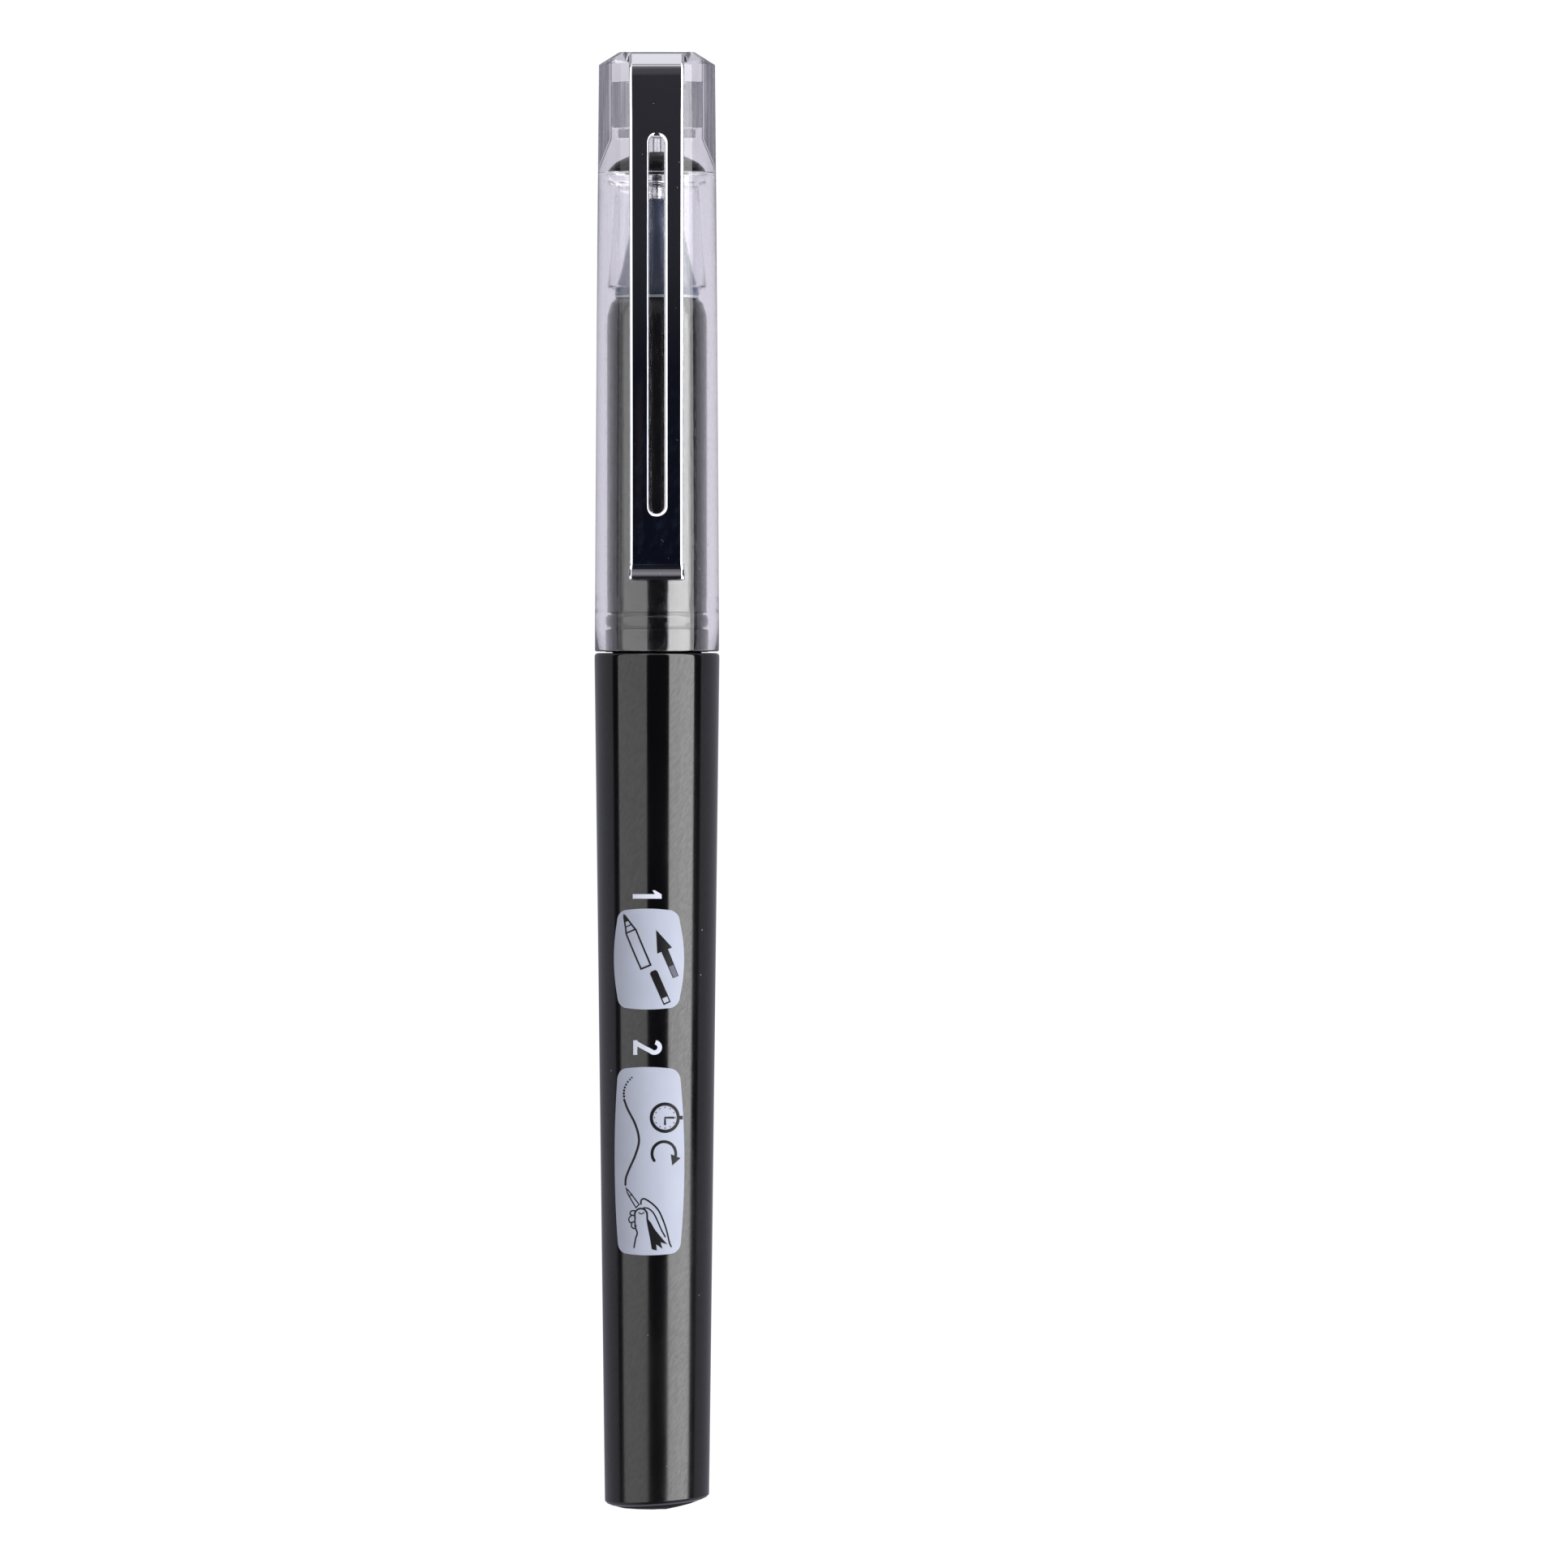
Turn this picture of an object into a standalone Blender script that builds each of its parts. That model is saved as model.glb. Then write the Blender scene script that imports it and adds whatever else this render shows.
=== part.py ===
"""Capped cartridge rollerball pen, lying on its side with the clip up.

The pen's axis runs along Y, with the cap's top at +Y and the barrel's closed
end at -Y.  The origin is on the surface the pen lies on, under the middle of
its length.  Every turned piece is a profile of (radius, station) points, with
the station measured along the pen's axis, given to a Screw modifier and laid
down so that the profile's height becomes the world's +Y.
"""

import math

import bmesh
import bpy
from mathutils import Matrix, Vector

# ---------------------------------------------------------------- dimensions
# All lengths below are in millimetres and are turned into metres by MM.
MM = 0.001

PEN_LENGTH = 136.0
HALF = PEN_LENGTH / 2.0
BARREL_R_MAX = 5.84            # widest ring of the pen, on which it lies
AXIS_Z = BARREL_R_MAX          # height of the pen's axis over the surface
TURN_STEPS = 40                # facets round a turned piece
FINE_STEPS = 24                # facets round a slender piece
COLLECTOR_STEPS = 28

# cap
CAP_RIM_Y = 12.26
CAP_RIM_R = 5.81
CAP_MID_Y = 42.60
CAP_MID_R = 5.65
CAP_SHOULDER_Y = 66.67
CAP_SHOULDER_R = 5.43
CAP_FACE_R = 3.60
CAP_BORE_R_RIM = 4.99
CAP_BORE_R_TOP = 4.84
CAP_BORE_TOP_Y = 56.80
SNAP_BEAD_R = 4.89
SNAP_BEAD_Y = 16.40
CAVITY_TOP_Y = 65.20
CAVITY_R = 2.97
CAVITY_STEP_Y = 60.75
CAVITY_NECK_R = 2.67
CAVITY_NECK_Y = 59.90
CONE_R = 3.65

# clip
CLIP_W = 5.20
CLIP_T = 0.50
CLIP_TOP_Y = 67.85             # outer face of the top plate
CLIP_ROOT_Z = 1.75             # start of the top plate, above the axis
CLIP_ARM_Z_TOP = 6.95          # outer face of the arm at the fold
CLIP_ARM_Z_LOW = 6.66          # outer face of the arm at the crease
CLIP_FOLD_R = 1.00
CLIP_CREASE_Y = 20.00
CLIP_LIP_Y = 18.80
CLIP_LIP_RISE = 0.42
CLIP_TANG_Y = 60.95
CLIP_TANG_Z = 1.75
CLIP_TANG_W = 2.60
SLOT_Y0, SLOT_Y1 = 24.70, 60.30
SLOT_HALF_TOP = 1.03
SLOT_HALF_LOW = 0.70
CLIP_PIVOT_Y = 66.90
CLIP_PIVOT_Z = 5.30            # above the axis
RECESS_FLOOR_Y = 66.95
RECESS_HALF_W = 2.95
TANG_SLOT_HALF_W = 1.65
TANG_SLOT_Z = (1.40, 2.62)     # above the axis

# inner parts of the cap
SEAL_BASE_Y = 56.62
SEAL_TOP_Y = 58.94
SEAL_R = 2.98
INNER_CAP_TOP_Y = 56.50
INNER_CAP_FLOOR_Y = 55.80
INNER_CAP_R = 4.62
INNER_CAP_BORE = 4.12
INNER_CAP_RIM_Y = 46.00
INNER_CAP_HOLE_R = 1.50

# writing end
BALL_R = 0.30
BALL_Y = 56.44
TIP_R = 0.62
TIP_BASE_Y = 54.60
TIP_TAIL_Y = 51.40
NOSE_TIP_Y = 54.50
NOSE_BASE_Y = 45.70
NOSE_SPIGOT_R = 3.40
NOSE_SPIGOT_Y = 42.60

# section
SECTION_FACE_Y = 45.07
SECTION_R = 4.68
COLLAR_R = 4.85
COLLAR_Y = 14.10
SECTION_STEP_Y = 12.00
SPIGOT_R = 4.42
SPIGOT_END_Y = 3.00
SECTION_BORE_R = 3.55
COLLECTOR_REST_Y = 20.60
NECK_BORE_R = 2.62
CARTRIDGE_BORE_R = 3.90
CARTRIDGE_SEAT_Y = 11.20

# barrel
BARREL_FACE_Y = 11.90
BARREL_END_R = 4.88
BARREL_END_Y = -66.45
BARREL_SOCKET_R = 4.60
BARREL_SOCKET_Y = 2.40
BARREL_BORE_R0 = 4.35
BARREL_BORE_R1 = 3.98
BARREL_BORE_END_Y = -61.50
PLUG_STEM_R = 3.50
PLUG_RIM_R = 4.12
PLUG_FLAT_R = 1.30

# cartridge
CART_R = 3.68
CART_WALL = 0.45
CART_MOUTH_Y = 14.00
CART_SHOULDER_Y = 10.85
CART_END_Y = CART_MOUTH_Y - 38.0
CART_PLUG_Y = CART_END_Y + 6.1
CART_NECK_R = 2.15
CART_MOUTH_R = 1.50
CART_BALL_R = 1.38
CART_BALL_Y = 7.80


# ------------------------------------------------------------------- helpers
def clear_scene():
    for obj in list(bpy.data.objects):
        bpy.data.objects.remove(obj, do_unlink=True)


def collection(name):
    col = bpy.data.collections.new(name)
    bpy.context.scene.collection.children.link(col)
    return col


def material(name, rgb, roughness, metallic=0.0, alpha=1.0):
    mat = bpy.data.materials.new(name)
    mat.use_nodes = True
    bsdf = mat.node_tree.nodes["Principled BSDF"]
    bsdf.inputs["Base Color"].default_value = (*rgb, 1.0)
    bsdf.inputs["Roughness"].default_value = roughness
    bsdf.inputs["Metallic"].default_value = metallic
    bsdf.inputs["Alpha"].default_value = alpha
    return mat


def link(name, mesh, col, mat):
    obj = bpy.data.objects.new(name, mesh)
    col.objects.link(obj)
    if mat is not None:
        mesh.materials.append(mat)
    return obj


def lay_down(obj, y=0.0, z=AXIS_Z, x=0.0):
    """The object's own +Z becomes the world's +Y, at the pen's axis."""
    obj.rotation_euler = (-math.pi / 2.0, 0.0, 0.0)
    obj.location = (x * MM, y * MM, z * MM)


def turned(name, profile, col, mat, steps=TURN_STEPS, closed=True, y=0.0, z=AXIS_Z):
    """Turn a profile of (radius, station) points round the pen's axis.

    The profile runs down the outer side, from the +Y end to the -Y end; a
    hollow piece then comes back up its bore.
    """
    mesh = bpy.data.meshes.new(name)
    verts = [(r * MM, 0.0, (s - y) * MM) for r, s in profile]
    edges = [(i, i + 1) for i in range(len(verts) - 1)]
    if closed:
        edges.append((len(verts) - 1, 0))
    mesh.from_pydata(verts, edges, [])
    obj = link(name, mesh, col, mat)
    screw = obj.modifiers.new("turn", "SCREW")
    screw.axis = "Z"
    screw.angle = math.tau
    screw.steps = steps
    screw.render_steps = steps
    screw.use_merge_vertices = True
    screw.merge_threshold = 0.000001
    screw.use_smooth_shade = True
    lay_down(obj, y=y, z=z)
    return obj


def as_cutter(obj):
    obj.hide_render = True
    obj.display_type = "WIRE"
    return obj


def cut(obj, cutter, operation="DIFFERENCE"):
    mod = obj.modifiers.new(cutter.name, "BOOLEAN")
    mod.object = cutter
    mod.operation = operation
    mod.solver = "EXACT"
    return mod


def box_mesh(name, lo, hi):
    """A box between two corners given in millimetres in the world's frame."""
    bm = bmesh.new()
    bmesh.ops.create_cube(bm, size=1.0)
    size = [(b - a) * MM for a, b in zip(lo, hi)]
    mid = [(a + b) / 2.0 * MM for a, b in zip(lo, hi)]
    bmesh.ops.transform(
        bm,
        matrix=Matrix.Translation(Vector(mid)) @ Matrix.Diagonal((*size, 1.0)),
        verts=bm.verts,
    )
    mesh = bpy.data.meshes.new(name)
    bm.to_mesh(mesh)
    bm.free()
    return mesh


def at(r0, y0, r1, y1, y):
    """Radius at station y on the straight taper from (r0, y0) to (r1, y1)."""
    return r0 + (r1 - r0) * (y - y0) / (y1 - y0)


def arc(cr, cy, radius, a0, a1, count):
    """Points of an arc in the profile's plane, angles in degrees from +r."""
    out = []
    for i in range(count + 1):
        a = math.radians(a0 + (a1 - a0) * i / count)
        out.append((cr + radius * math.cos(a), cy + radius * math.sin(a)))
    return out


def prism(name, outline, axis, lo, hi, col, mat):
    """A solid of one outline pushed along an axis.

    The outline is a list of (u, v) in millimetres.  For axis "X" they are
    world (y, z), for axis "Z" world (x, y) and for axis "Y" world (x, z).
    """
    curve = bpy.data.curves.new(name, "CURVE")
    curve.dimensions = "2D"
    curve.fill_mode = "BOTH"
    curve.extrude = abs(hi - lo) / 2.0 * MM
    spline = curve.splines.new("POLY")
    spline.points.add(len(outline) - 1)
    for point, (u, v) in zip(spline.points, outline):
        point.co = (u * MM, v * MM, 0.0, 1.0)
    spline.use_cyclic_u = True
    tmp = bpy.data.objects.new(name + "_outline", curve)
    col.objects.link(tmp)
    mid = (lo + hi) / 2.0 * MM
    if axis == "X":        # local x,y,z -> world y,z,x
        turn = Matrix(((0, 0, 1, mid), (1, 0, 0, 0), (0, 1, 0, 0), (0, 0, 0, 1)))
    elif axis == "Y":      # local x,y,z -> world x,z,-y
        turn = Matrix(((1, 0, 0, 0), (0, 0, -1, mid), (0, 1, 0, 0), (0, 0, 0, 1)))
    else:
        turn = Matrix.Translation((0.0, 0.0, mid))
    tmp.matrix_world = turn
    bpy.context.view_layer.update()
    deps = bpy.context.evaluated_depsgraph_get()
    mesh = bpy.data.meshes.new_from_object(tmp.evaluated_get(deps))
    mesh.name = name
    mesh.transform(turn)
    bm = bmesh.new()
    bm.from_mesh(mesh)
    bmesh.ops.remove_doubles(bm, verts=bm.verts, dist=0.000001)
    bmesh.ops.recalc_face_normals(bm, faces=bm.faces)
    bm.to_mesh(mesh)
    bm.free()
    bpy.data.objects.remove(tmp, do_unlink=True)
    mesh.materials.clear()
    return link(name, mesh, col, mat)


def set_origin(obj, point):
    """Move an object's origin to a world point in millimetres."""
    target = Vector([c * MM for c in point])
    obj.data.transform(Matrix.Translation(-target))
    obj.location = target


def smooth(obj, angle=40.0):
    obj.data.shade_smooth()
    obj.data.set_sharp_from_angle(angle=math.radians(angle))


# ------------------------------------------------------------------ the model
def build():
    clear_scene()
    parts = collection("cartridge_rollerball_pen")
    tools = collection("cutters")

    clear = material("clear_plastic", (0.86, 0.87, 0.88), 0.04, alpha=0.3)
    milky = material("milky_plastic", (0.78, 0.80, 0.83), 0.2, alpha=0.5)
    seal_rubber = material("seal_rubber", (0.012, 0.012, 0.014), 0.55)
    chrome = material("black_chrome", (0.035, 0.035, 0.042), 0.18, metallic=1.0)
    black = material("black_plastic", (0.006, 0.006, 0.007), 0.10)
    smoke = material("smoke_plastic", (0.16, 0.19, 0.24), 0.08, alpha=0.6)
    steel = material("tip_steel", (0.66, 0.66, 0.68), 0.22, metallic=1.0)
    carbide = material("tip_carbide", (0.38, 0.38, 0.40), 0.15, metallic=1.0)
    fibre = material("wick_fibre", (0.03, 0.035, 0.09), 0.9)
    abs_white = material("collector_abs", (0.55, 0.58, 0.62), 0.4)
    poly = material("cartridge_poly", (0.72, 0.75, 0.79), 0.25, alpha=0.5)
    poly_ball = material("ball_poly", (0.80, 0.80, 0.82), 0.3)

    # --- cap shell: clear, thick at the top, thin round the section
    def cap_outer(y):
        if y >= CAP_MID_Y:
            return at(CAP_SHOULDER_R, CAP_SHOULDER_Y, CAP_MID_R, CAP_MID_Y, y)
        return at(CAP_MID_R, CAP_MID_Y, CAP_RIM_R, CAP_RIM_Y, y)

    profile = [(CAP_FACE_R, HALF)]
    # softened chamfer from the flat top to the shoulder
    profile += [
        (CAP_FACE_R + 0.62 * (CAP_SHOULDER_R - CAP_FACE_R), HALF - 0.42),
        (CAP_FACE_R + 0.90 * (CAP_SHOULDER_R - CAP_FACE_R), HALF - 0.88),
        (CAP_SHOULDER_R, CAP_SHOULDER_Y),
    ]
    profile += [
        (cap_outer(54.0), 54.0),
        (CAP_MID_R, CAP_MID_Y),
        (cap_outer(28.0), 28.0),
        (cap_outer(CAP_RIM_Y + 0.25), CAP_RIM_Y + 0.25),
        (CAP_RIM_R - 0.22, CAP_RIM_Y),
        (CAP_BORE_R_RIM + 0.18, CAP_RIM_Y),
        (CAP_BORE_R_RIM, CAP_RIM_Y + 0.25),
    ]

    def bore(y):
        return at(CAP_BORE_R_RIM, CAP_RIM_Y, CAP_BORE_R_TOP, CAP_BORE_TOP_Y, y)

    profile += [
        (bore(SNAP_BEAD_Y - 0.55), SNAP_BEAD_Y - 0.55),
        (SNAP_BEAD_R, SNAP_BEAD_Y),
        (bore(SNAP_BEAD_Y + 0.55), SNAP_BEAD_Y + 0.55),
        (bore(36.0), 36.0),
        (CAP_BORE_R_TOP, CAP_BORE_TOP_Y),
        (CONE_R, CAP_BORE_TOP_Y),
        (CAVITY_NECK_R, CAVITY_NECK_Y),
        (CAVITY_NECK_R, CAVITY_STEP_Y),
        (CAVITY_R, CAVITY_STEP_Y + 0.15),
        (CAVITY_R, CAVITY_TOP_Y - 0.2),
        (CAVITY_R - 0.2, CAVITY_TOP_Y),
        (0.0, CAVITY_TOP_Y),
    ]
    profile = [(0.0, HALF)] + profile
    cap = turned("cap_shell", profile, parts, clear, closed=False)
    recess = link(
        "cut_recess",
        box_mesh(
            "cut_recess",
            (-RECESS_HALF_W, RECESS_FLOOR_Y, AXIS_Z + 1.20),
            (RECESS_HALF_W, HALF + 2.0, AXIS_Z + 9.0),
        ),
        tools,
        None,
    )
    tang_slot = link(
        "cut_tang_slot",
        box_mesh(
            "cut_tang_slot",
            (-TANG_SLOT_HALF_W, CAVITY_TOP_Y - 1.0, AXIS_Z + TANG_SLOT_Z[0]),
            (TANG_SLOT_HALF_W, RECESS_FLOOR_Y + 1.0, AXIS_Z + TANG_SLOT_Z[1]),
        ),
        tools,
        None,
    )
    cut(cap, as_cutter(recess))
    cut(cap, as_cutter(tang_slot))

    # --- clip: one strip of sheet, folded over the cap's top
    def sheet(center_line, thickness):
        """Outline of a strip whose outer line is given, with its thickness on the left."""
        outer, inner = [], []
        n = len(center_line)
        for i, (a, b) in enumerate(center_line):
            a0, b0 = center_line[max(i - 1, 0)]
            a1, b1 = center_line[min(i + 1, n - 1)]
            ta, tb = a1 - a0, b1 - b0
            length = math.hypot(ta, tb)
            na, nb = -tb / length, ta / length
            outer.append((a, b))
            inner.append((a + na * thickness, b + nb * thickness))
        return outer + inner[::-1]

    # outer line, in (y, z above the axis), from the tang to the lip
    fold = [
        (
            CLIP_TOP_Y - CLIP_FOLD_R + CLIP_FOLD_R * math.cos(math.radians(a)),
            CLIP_ARM_Z_TOP - CLIP_FOLD_R + CLIP_FOLD_R * math.sin(math.radians(a)),
        )
        for a in range(0, 91, 15)
    ]
    lip = [
        (CLIP_CREASE_Y + 0.25, CLIP_ARM_Z_LOW),
        (CLIP_CREASE_Y, CLIP_ARM_Z_LOW + 0.02),
        (CLIP_CREASE_Y - 0.35, CLIP_ARM_Z_LOW + 0.12),
        (CLIP_LIP_Y, CLIP_ARM_Z_LOW + CLIP_LIP_RISE),
    ]
    line = [(CLIP_TOP_Y, CLIP_ROOT_Z)] + fold + lip
    # thickness lies on the inner side: towards -Y on the plate, -Z on the arm
    arm_outline = sheet(line, CLIP_T)
    arm = prism(
        "clip",
        [(a, b + AXIS_Z) for a, b in arm_outline],
        "X",
        -CLIP_W / 2.0,
        CLIP_W / 2.0,
        parts,
        chrome,
    )
    tang = link(
        "add_tang",
        box_mesh(
            "add_tang",
            (-CLIP_TANG_W / 2.0, CLIP_TANG_Y, AXIS_Z + CLIP_TANG_Z),
            (CLIP_TANG_W / 2.0, CLIP_TOP_Y - CLIP_T * 0.5, AXIS_Z + CLIP_TANG_Z + CLIP_T),
        ),
        tools,
        None,
    )
    cut(arm, as_cutter(tang), "UNION")
    # long slot with a sloping rim: a stadium that is narrower underneath
    bm = bmesh.new()
    rings = []
    for half, z in ((SLOT_HALF_LOW, 5.0), (SLOT_HALF_LOW, 6.42), (SLOT_HALF_TOP + 0.06, 7.10)):
        ring = []
        for end, sign in ((SLOT_Y1 - SLOT_HALF_TOP, 1.0), (SLOT_Y0 + SLOT_HALF_TOP, -1.0)):
            for i in range(9):
                a = math.pi * i / 8.0
                x = half * math.cos(a) * sign
                y = end + half * math.sin(a) * sign
                ring.append(bm.verts.new((x * MM, y * MM, (z + AXIS_Z) * MM)))
        rings.append(ring)
    count = len(rings[0])
    for low, high in zip(rings, rings[1:]):
        for i in range(count):
            j = (i + 1) % count
            bm.faces.new((low[i], low[j], high[j], high[i]))
    bm.faces.new(rings[-1])
    bm.faces.new(rings[0][::-1])
    bmesh.ops.recalc_face_normals(bm, faces=bm.faces)
    slot_mesh = bpy.data.meshes.new("cut_slot")
    bm.to_mesh(slot_mesh)
    bm.free()
    slot = link("cut_slot", slot_mesh, tools, None)
    cut(arm, as_cutter(slot))
    for helper in (arm, tang, slot):
        set_origin(helper, (0.0, CLIP_PIVOT_Y, AXIS_Z + CLIP_PIVOT_Z))

    # --- clip retainer: D-shaped clear plug that keeps the tang in the cavity
    retainer = turned(
        "clip_retainer",
        [
            (2.55, CAVITY_TOP_Y - 0.30),
            (2.80, CAVITY_TOP_Y - 0.60),
            (2.80, CAVITY_STEP_Y + 0.55),
            (2.60, CAVITY_STEP_Y + 0.30),
            (1.25, CAVITY_STEP_Y + 0.30),
            (1.25, CAVITY_TOP_Y - 0.30),
        ],
        parts,
        milky,
        steps=32,
    )
    d_flat = link(
        "cut_retainer_flat",
        box_mesh(
            "cut_retainer_flat",
            (-4.0, 58.0, AXIS_Z + 1.42),
            (4.0, 67.0, AXIS_Z + 4.0),
        ),
        tools,
        None,
    )
    cut(retainer, as_cutter(d_flat))

    # --- rubber seal that the writing point closes against
    seal = [(0.0, SEAL_TOP_Y), (1.10, 58.84), (1.90, 58.58), (2.40, 58.26), (2.78, 57.78),
            (SEAL_R, 57.20), (SEAL_R, SEAL_BASE_Y), (0.62, SEAL_BASE_Y), (0.45, SEAL_BASE_Y + 0.42), (0.0, SEAL_BASE_Y + 0.42)]
    turned("tip_seal", seal, parts, seal_rubber, steps=32, closed=False)

    # --- inner cap: thin cup that keeps the writing end from drying
    turned(
        "inner_cap",
        [
            (4.40, INNER_CAP_TOP_Y),
            (INNER_CAP_R, INNER_CAP_TOP_Y - 0.22),
            (INNER_CAP_R, INNER_CAP_RIM_Y),
            (INNER_CAP_BORE, INNER_CAP_RIM_Y),
            (INNER_CAP_BORE, INNER_CAP_FLOOR_Y - 0.3),
            (INNER_CAP_BORE - 0.3, INNER_CAP_FLOOR_Y),
            (INNER_CAP_HOLE_R, INNER_CAP_FLOOR_Y),
            (INNER_CAP_HOLE_R, INNER_CAP_TOP_Y),
        ],
        parts,
        milky,
    )

    # --- writing point
    bpy_ball = bmesh.new()
    bmesh.ops.create_uvsphere(bpy_ball, u_segments=16, v_segments=10, radius=BALL_R * MM)
    ball_mesh = bpy.data.meshes.new("tip_ball")
    bpy_ball.to_mesh(ball_mesh)
    bpy_ball.free()
    ball = link("tip_ball", ball_mesh, parts, carbide)
    ball.location = (0.0, BALL_Y * MM, AXIS_Z * MM)
    smooth(ball, 60.0)
    turned(
        "tip_tube",
        [
            (0.40, BALL_Y + 0.06),
            (0.46, BALL_Y - 0.10),
            (TIP_R, BALL_Y - 0.75),
            (TIP_R, TIP_TAIL_Y),
            (0.36, TIP_TAIL_Y),
            (0.36, BALL_Y + 0.06),
        ],
        parts,
        steel,
        steps=FINE_STEPS,
    )
    turned(
        "ink_wick",
        [(0.20, TIP_TAIL_Y + 3.6), (0.29, TIP_TAIL_Y + 3.3), (0.29, 48.4), (0.62, 47.9), (0.66, 19.2), (0.30, 18.8), (0.0, 18.8)],
        parts,
        fibre,
        steps=16,
        closed=False,
    )
    wick = parts.objects["ink_wick"]
    wick_profile = wick.data
    # close the wick's front end on the axis
    bm = bmesh.new()
    bm.from_mesh(wick_profile)
    bm.verts.ensure_lookup_table()
    first = bm.verts[0]
    tip = bm.verts.new((0.0, 0.0, first.co.z))
    bm.edges.new((tip, first))
    bm.to_mesh(wick_profile)
    bm.free()

    # --- nose cone: translucent trumpet, with a spigot inside the section
    turned(
        "nose_cone",
        [
            (0.95, NOSE_TIP_Y),
            (1.22, 54.10),
            (1.62, 53.35),
            (2.06, 52.45),
            (2.53, 51.30),
            (2.95, 49.35),
            (3.40, 47.45),
            (3.88, 46.00),
            (3.95, NOSE_BASE_Y),
            (3.95, SECTION_FACE_Y + 0.12),
            (NOSE_SPIGOT_R, SECTION_FACE_Y + 0.12),
            (NOSE_SPIGOT_R, NOSE_SPIGOT_Y),
            (2.65, NOSE_SPIGOT_Y),
            (2.60, 46.4),
            (1.75, 49.8),
            (0.90, 51.2),
            (0.70, 51.6),
            (0.70, NOSE_TIP_Y),
        ],
        parts,
        smoke,
    )

    # --- section: grip in front, collar and threaded spigot behind
    turned(
        "grip_section",
        [
            (3.83, SECTION_FACE_Y),
            (4.25, SECTION_FACE_Y - 0.45),
            (4.60, SECTION_FACE_Y - 1.37),
            (SECTION_R, SECTION_FACE_Y - 2.1),
            (SECTION_R, 15.75),
            (4.30, 15.62),
            (4.30, 14.28),
            (COLLAR_R, 14.10),
            (COLLAR_R, SECTION_STEP_Y + 0.12),
            (COLLAR_R - 0.12, SECTION_STEP_Y),
            (SPIGOT_R - 0.25, SECTION_STEP_Y),
            (SPIGOT_R - 0.25, SECTION_STEP_Y - 1.1),
            (SPIGOT_R, SECTION_STEP_Y - 1.35),
            (SPIGOT_R, SPIGOT_END_Y + 0.3),
            (SPIGOT_R - 0.25, SPIGOT_END_Y),
            (CARTRIDGE_BORE_R + 0.05, SPIGOT_END_Y),
            (CARTRIDGE_BORE_R, CARTRIDGE_SEAT_Y),
            (NECK_BORE_R, CARTRIDGE_SEAT_Y + 0.5),
            (NECK_BORE_R, COLLECTOR_REST_Y - 4.2),
            (2.95, COLLECTOR_REST_Y - 3.8),
            (SECTION_BORE_R, COLLECTOR_REST_Y - 3.8),
            (SECTION_BORE_R, SECTION_FACE_Y),
        ],
        parts,
        black,
    )
    turned(
        "snap_ring",
        [
            (4.62, 15.50),
            (4.78, 15.30),
            (4.80, 14.95),
            (4.78, 14.60),
            (4.62, 14.40),
            (4.36, 14.40),
            (4.36, 15.50),
        ],
        parts,
        black,
    )

    # --- ink collector: a core with thin fins, over the wick
    fins = []
    fin_pitch = 1.56
    fin_t = 0.62
    y = 41.6
    while y > COLLECTOR_REST_Y + 1.6:
        fins += [(3.25, y), (3.25, y - fin_t), (1.55, y - fin_t), (1.55, y - fin_pitch)]
        y -= fin_pitch
    collector = [(2.2, 42.2), (2.2, 41.6)] + fins
    collector += [(3.25, y), (3.25, COLLECTOR_REST_Y - 1.4), (0.85, COLLECTOR_REST_Y - 1.4), (0.85, 42.2)]
    turned("ink_collector", collector, parts, abs_white, steps=COLLECTOR_STEPS)

    # --- piercing tube: flange against the collector, spike into the cartridge
    turned(
        "piercing_tube",
        [
            (3.20, 18.90),
            (3.20, 17.15),
            (1.55, 16.95),
            (1.15, 16.60),
            (1.15, 12.40),
            (0.75, 11.60),
            (0.55, 11.60),
            (0.55, 18.00),
            (0.90, 18.30),
            (0.90, 18.90),
        ],
        parts,
        abs_white,
        steps=FINE_STEPS,
    )

    # --- barrel and its end plug
    def barrel_outer(y):
        return at(BARREL_R_MAX, BARREL_FACE_Y - 0.35, BARREL_END_R, BARREL_END_Y, y)

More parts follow.
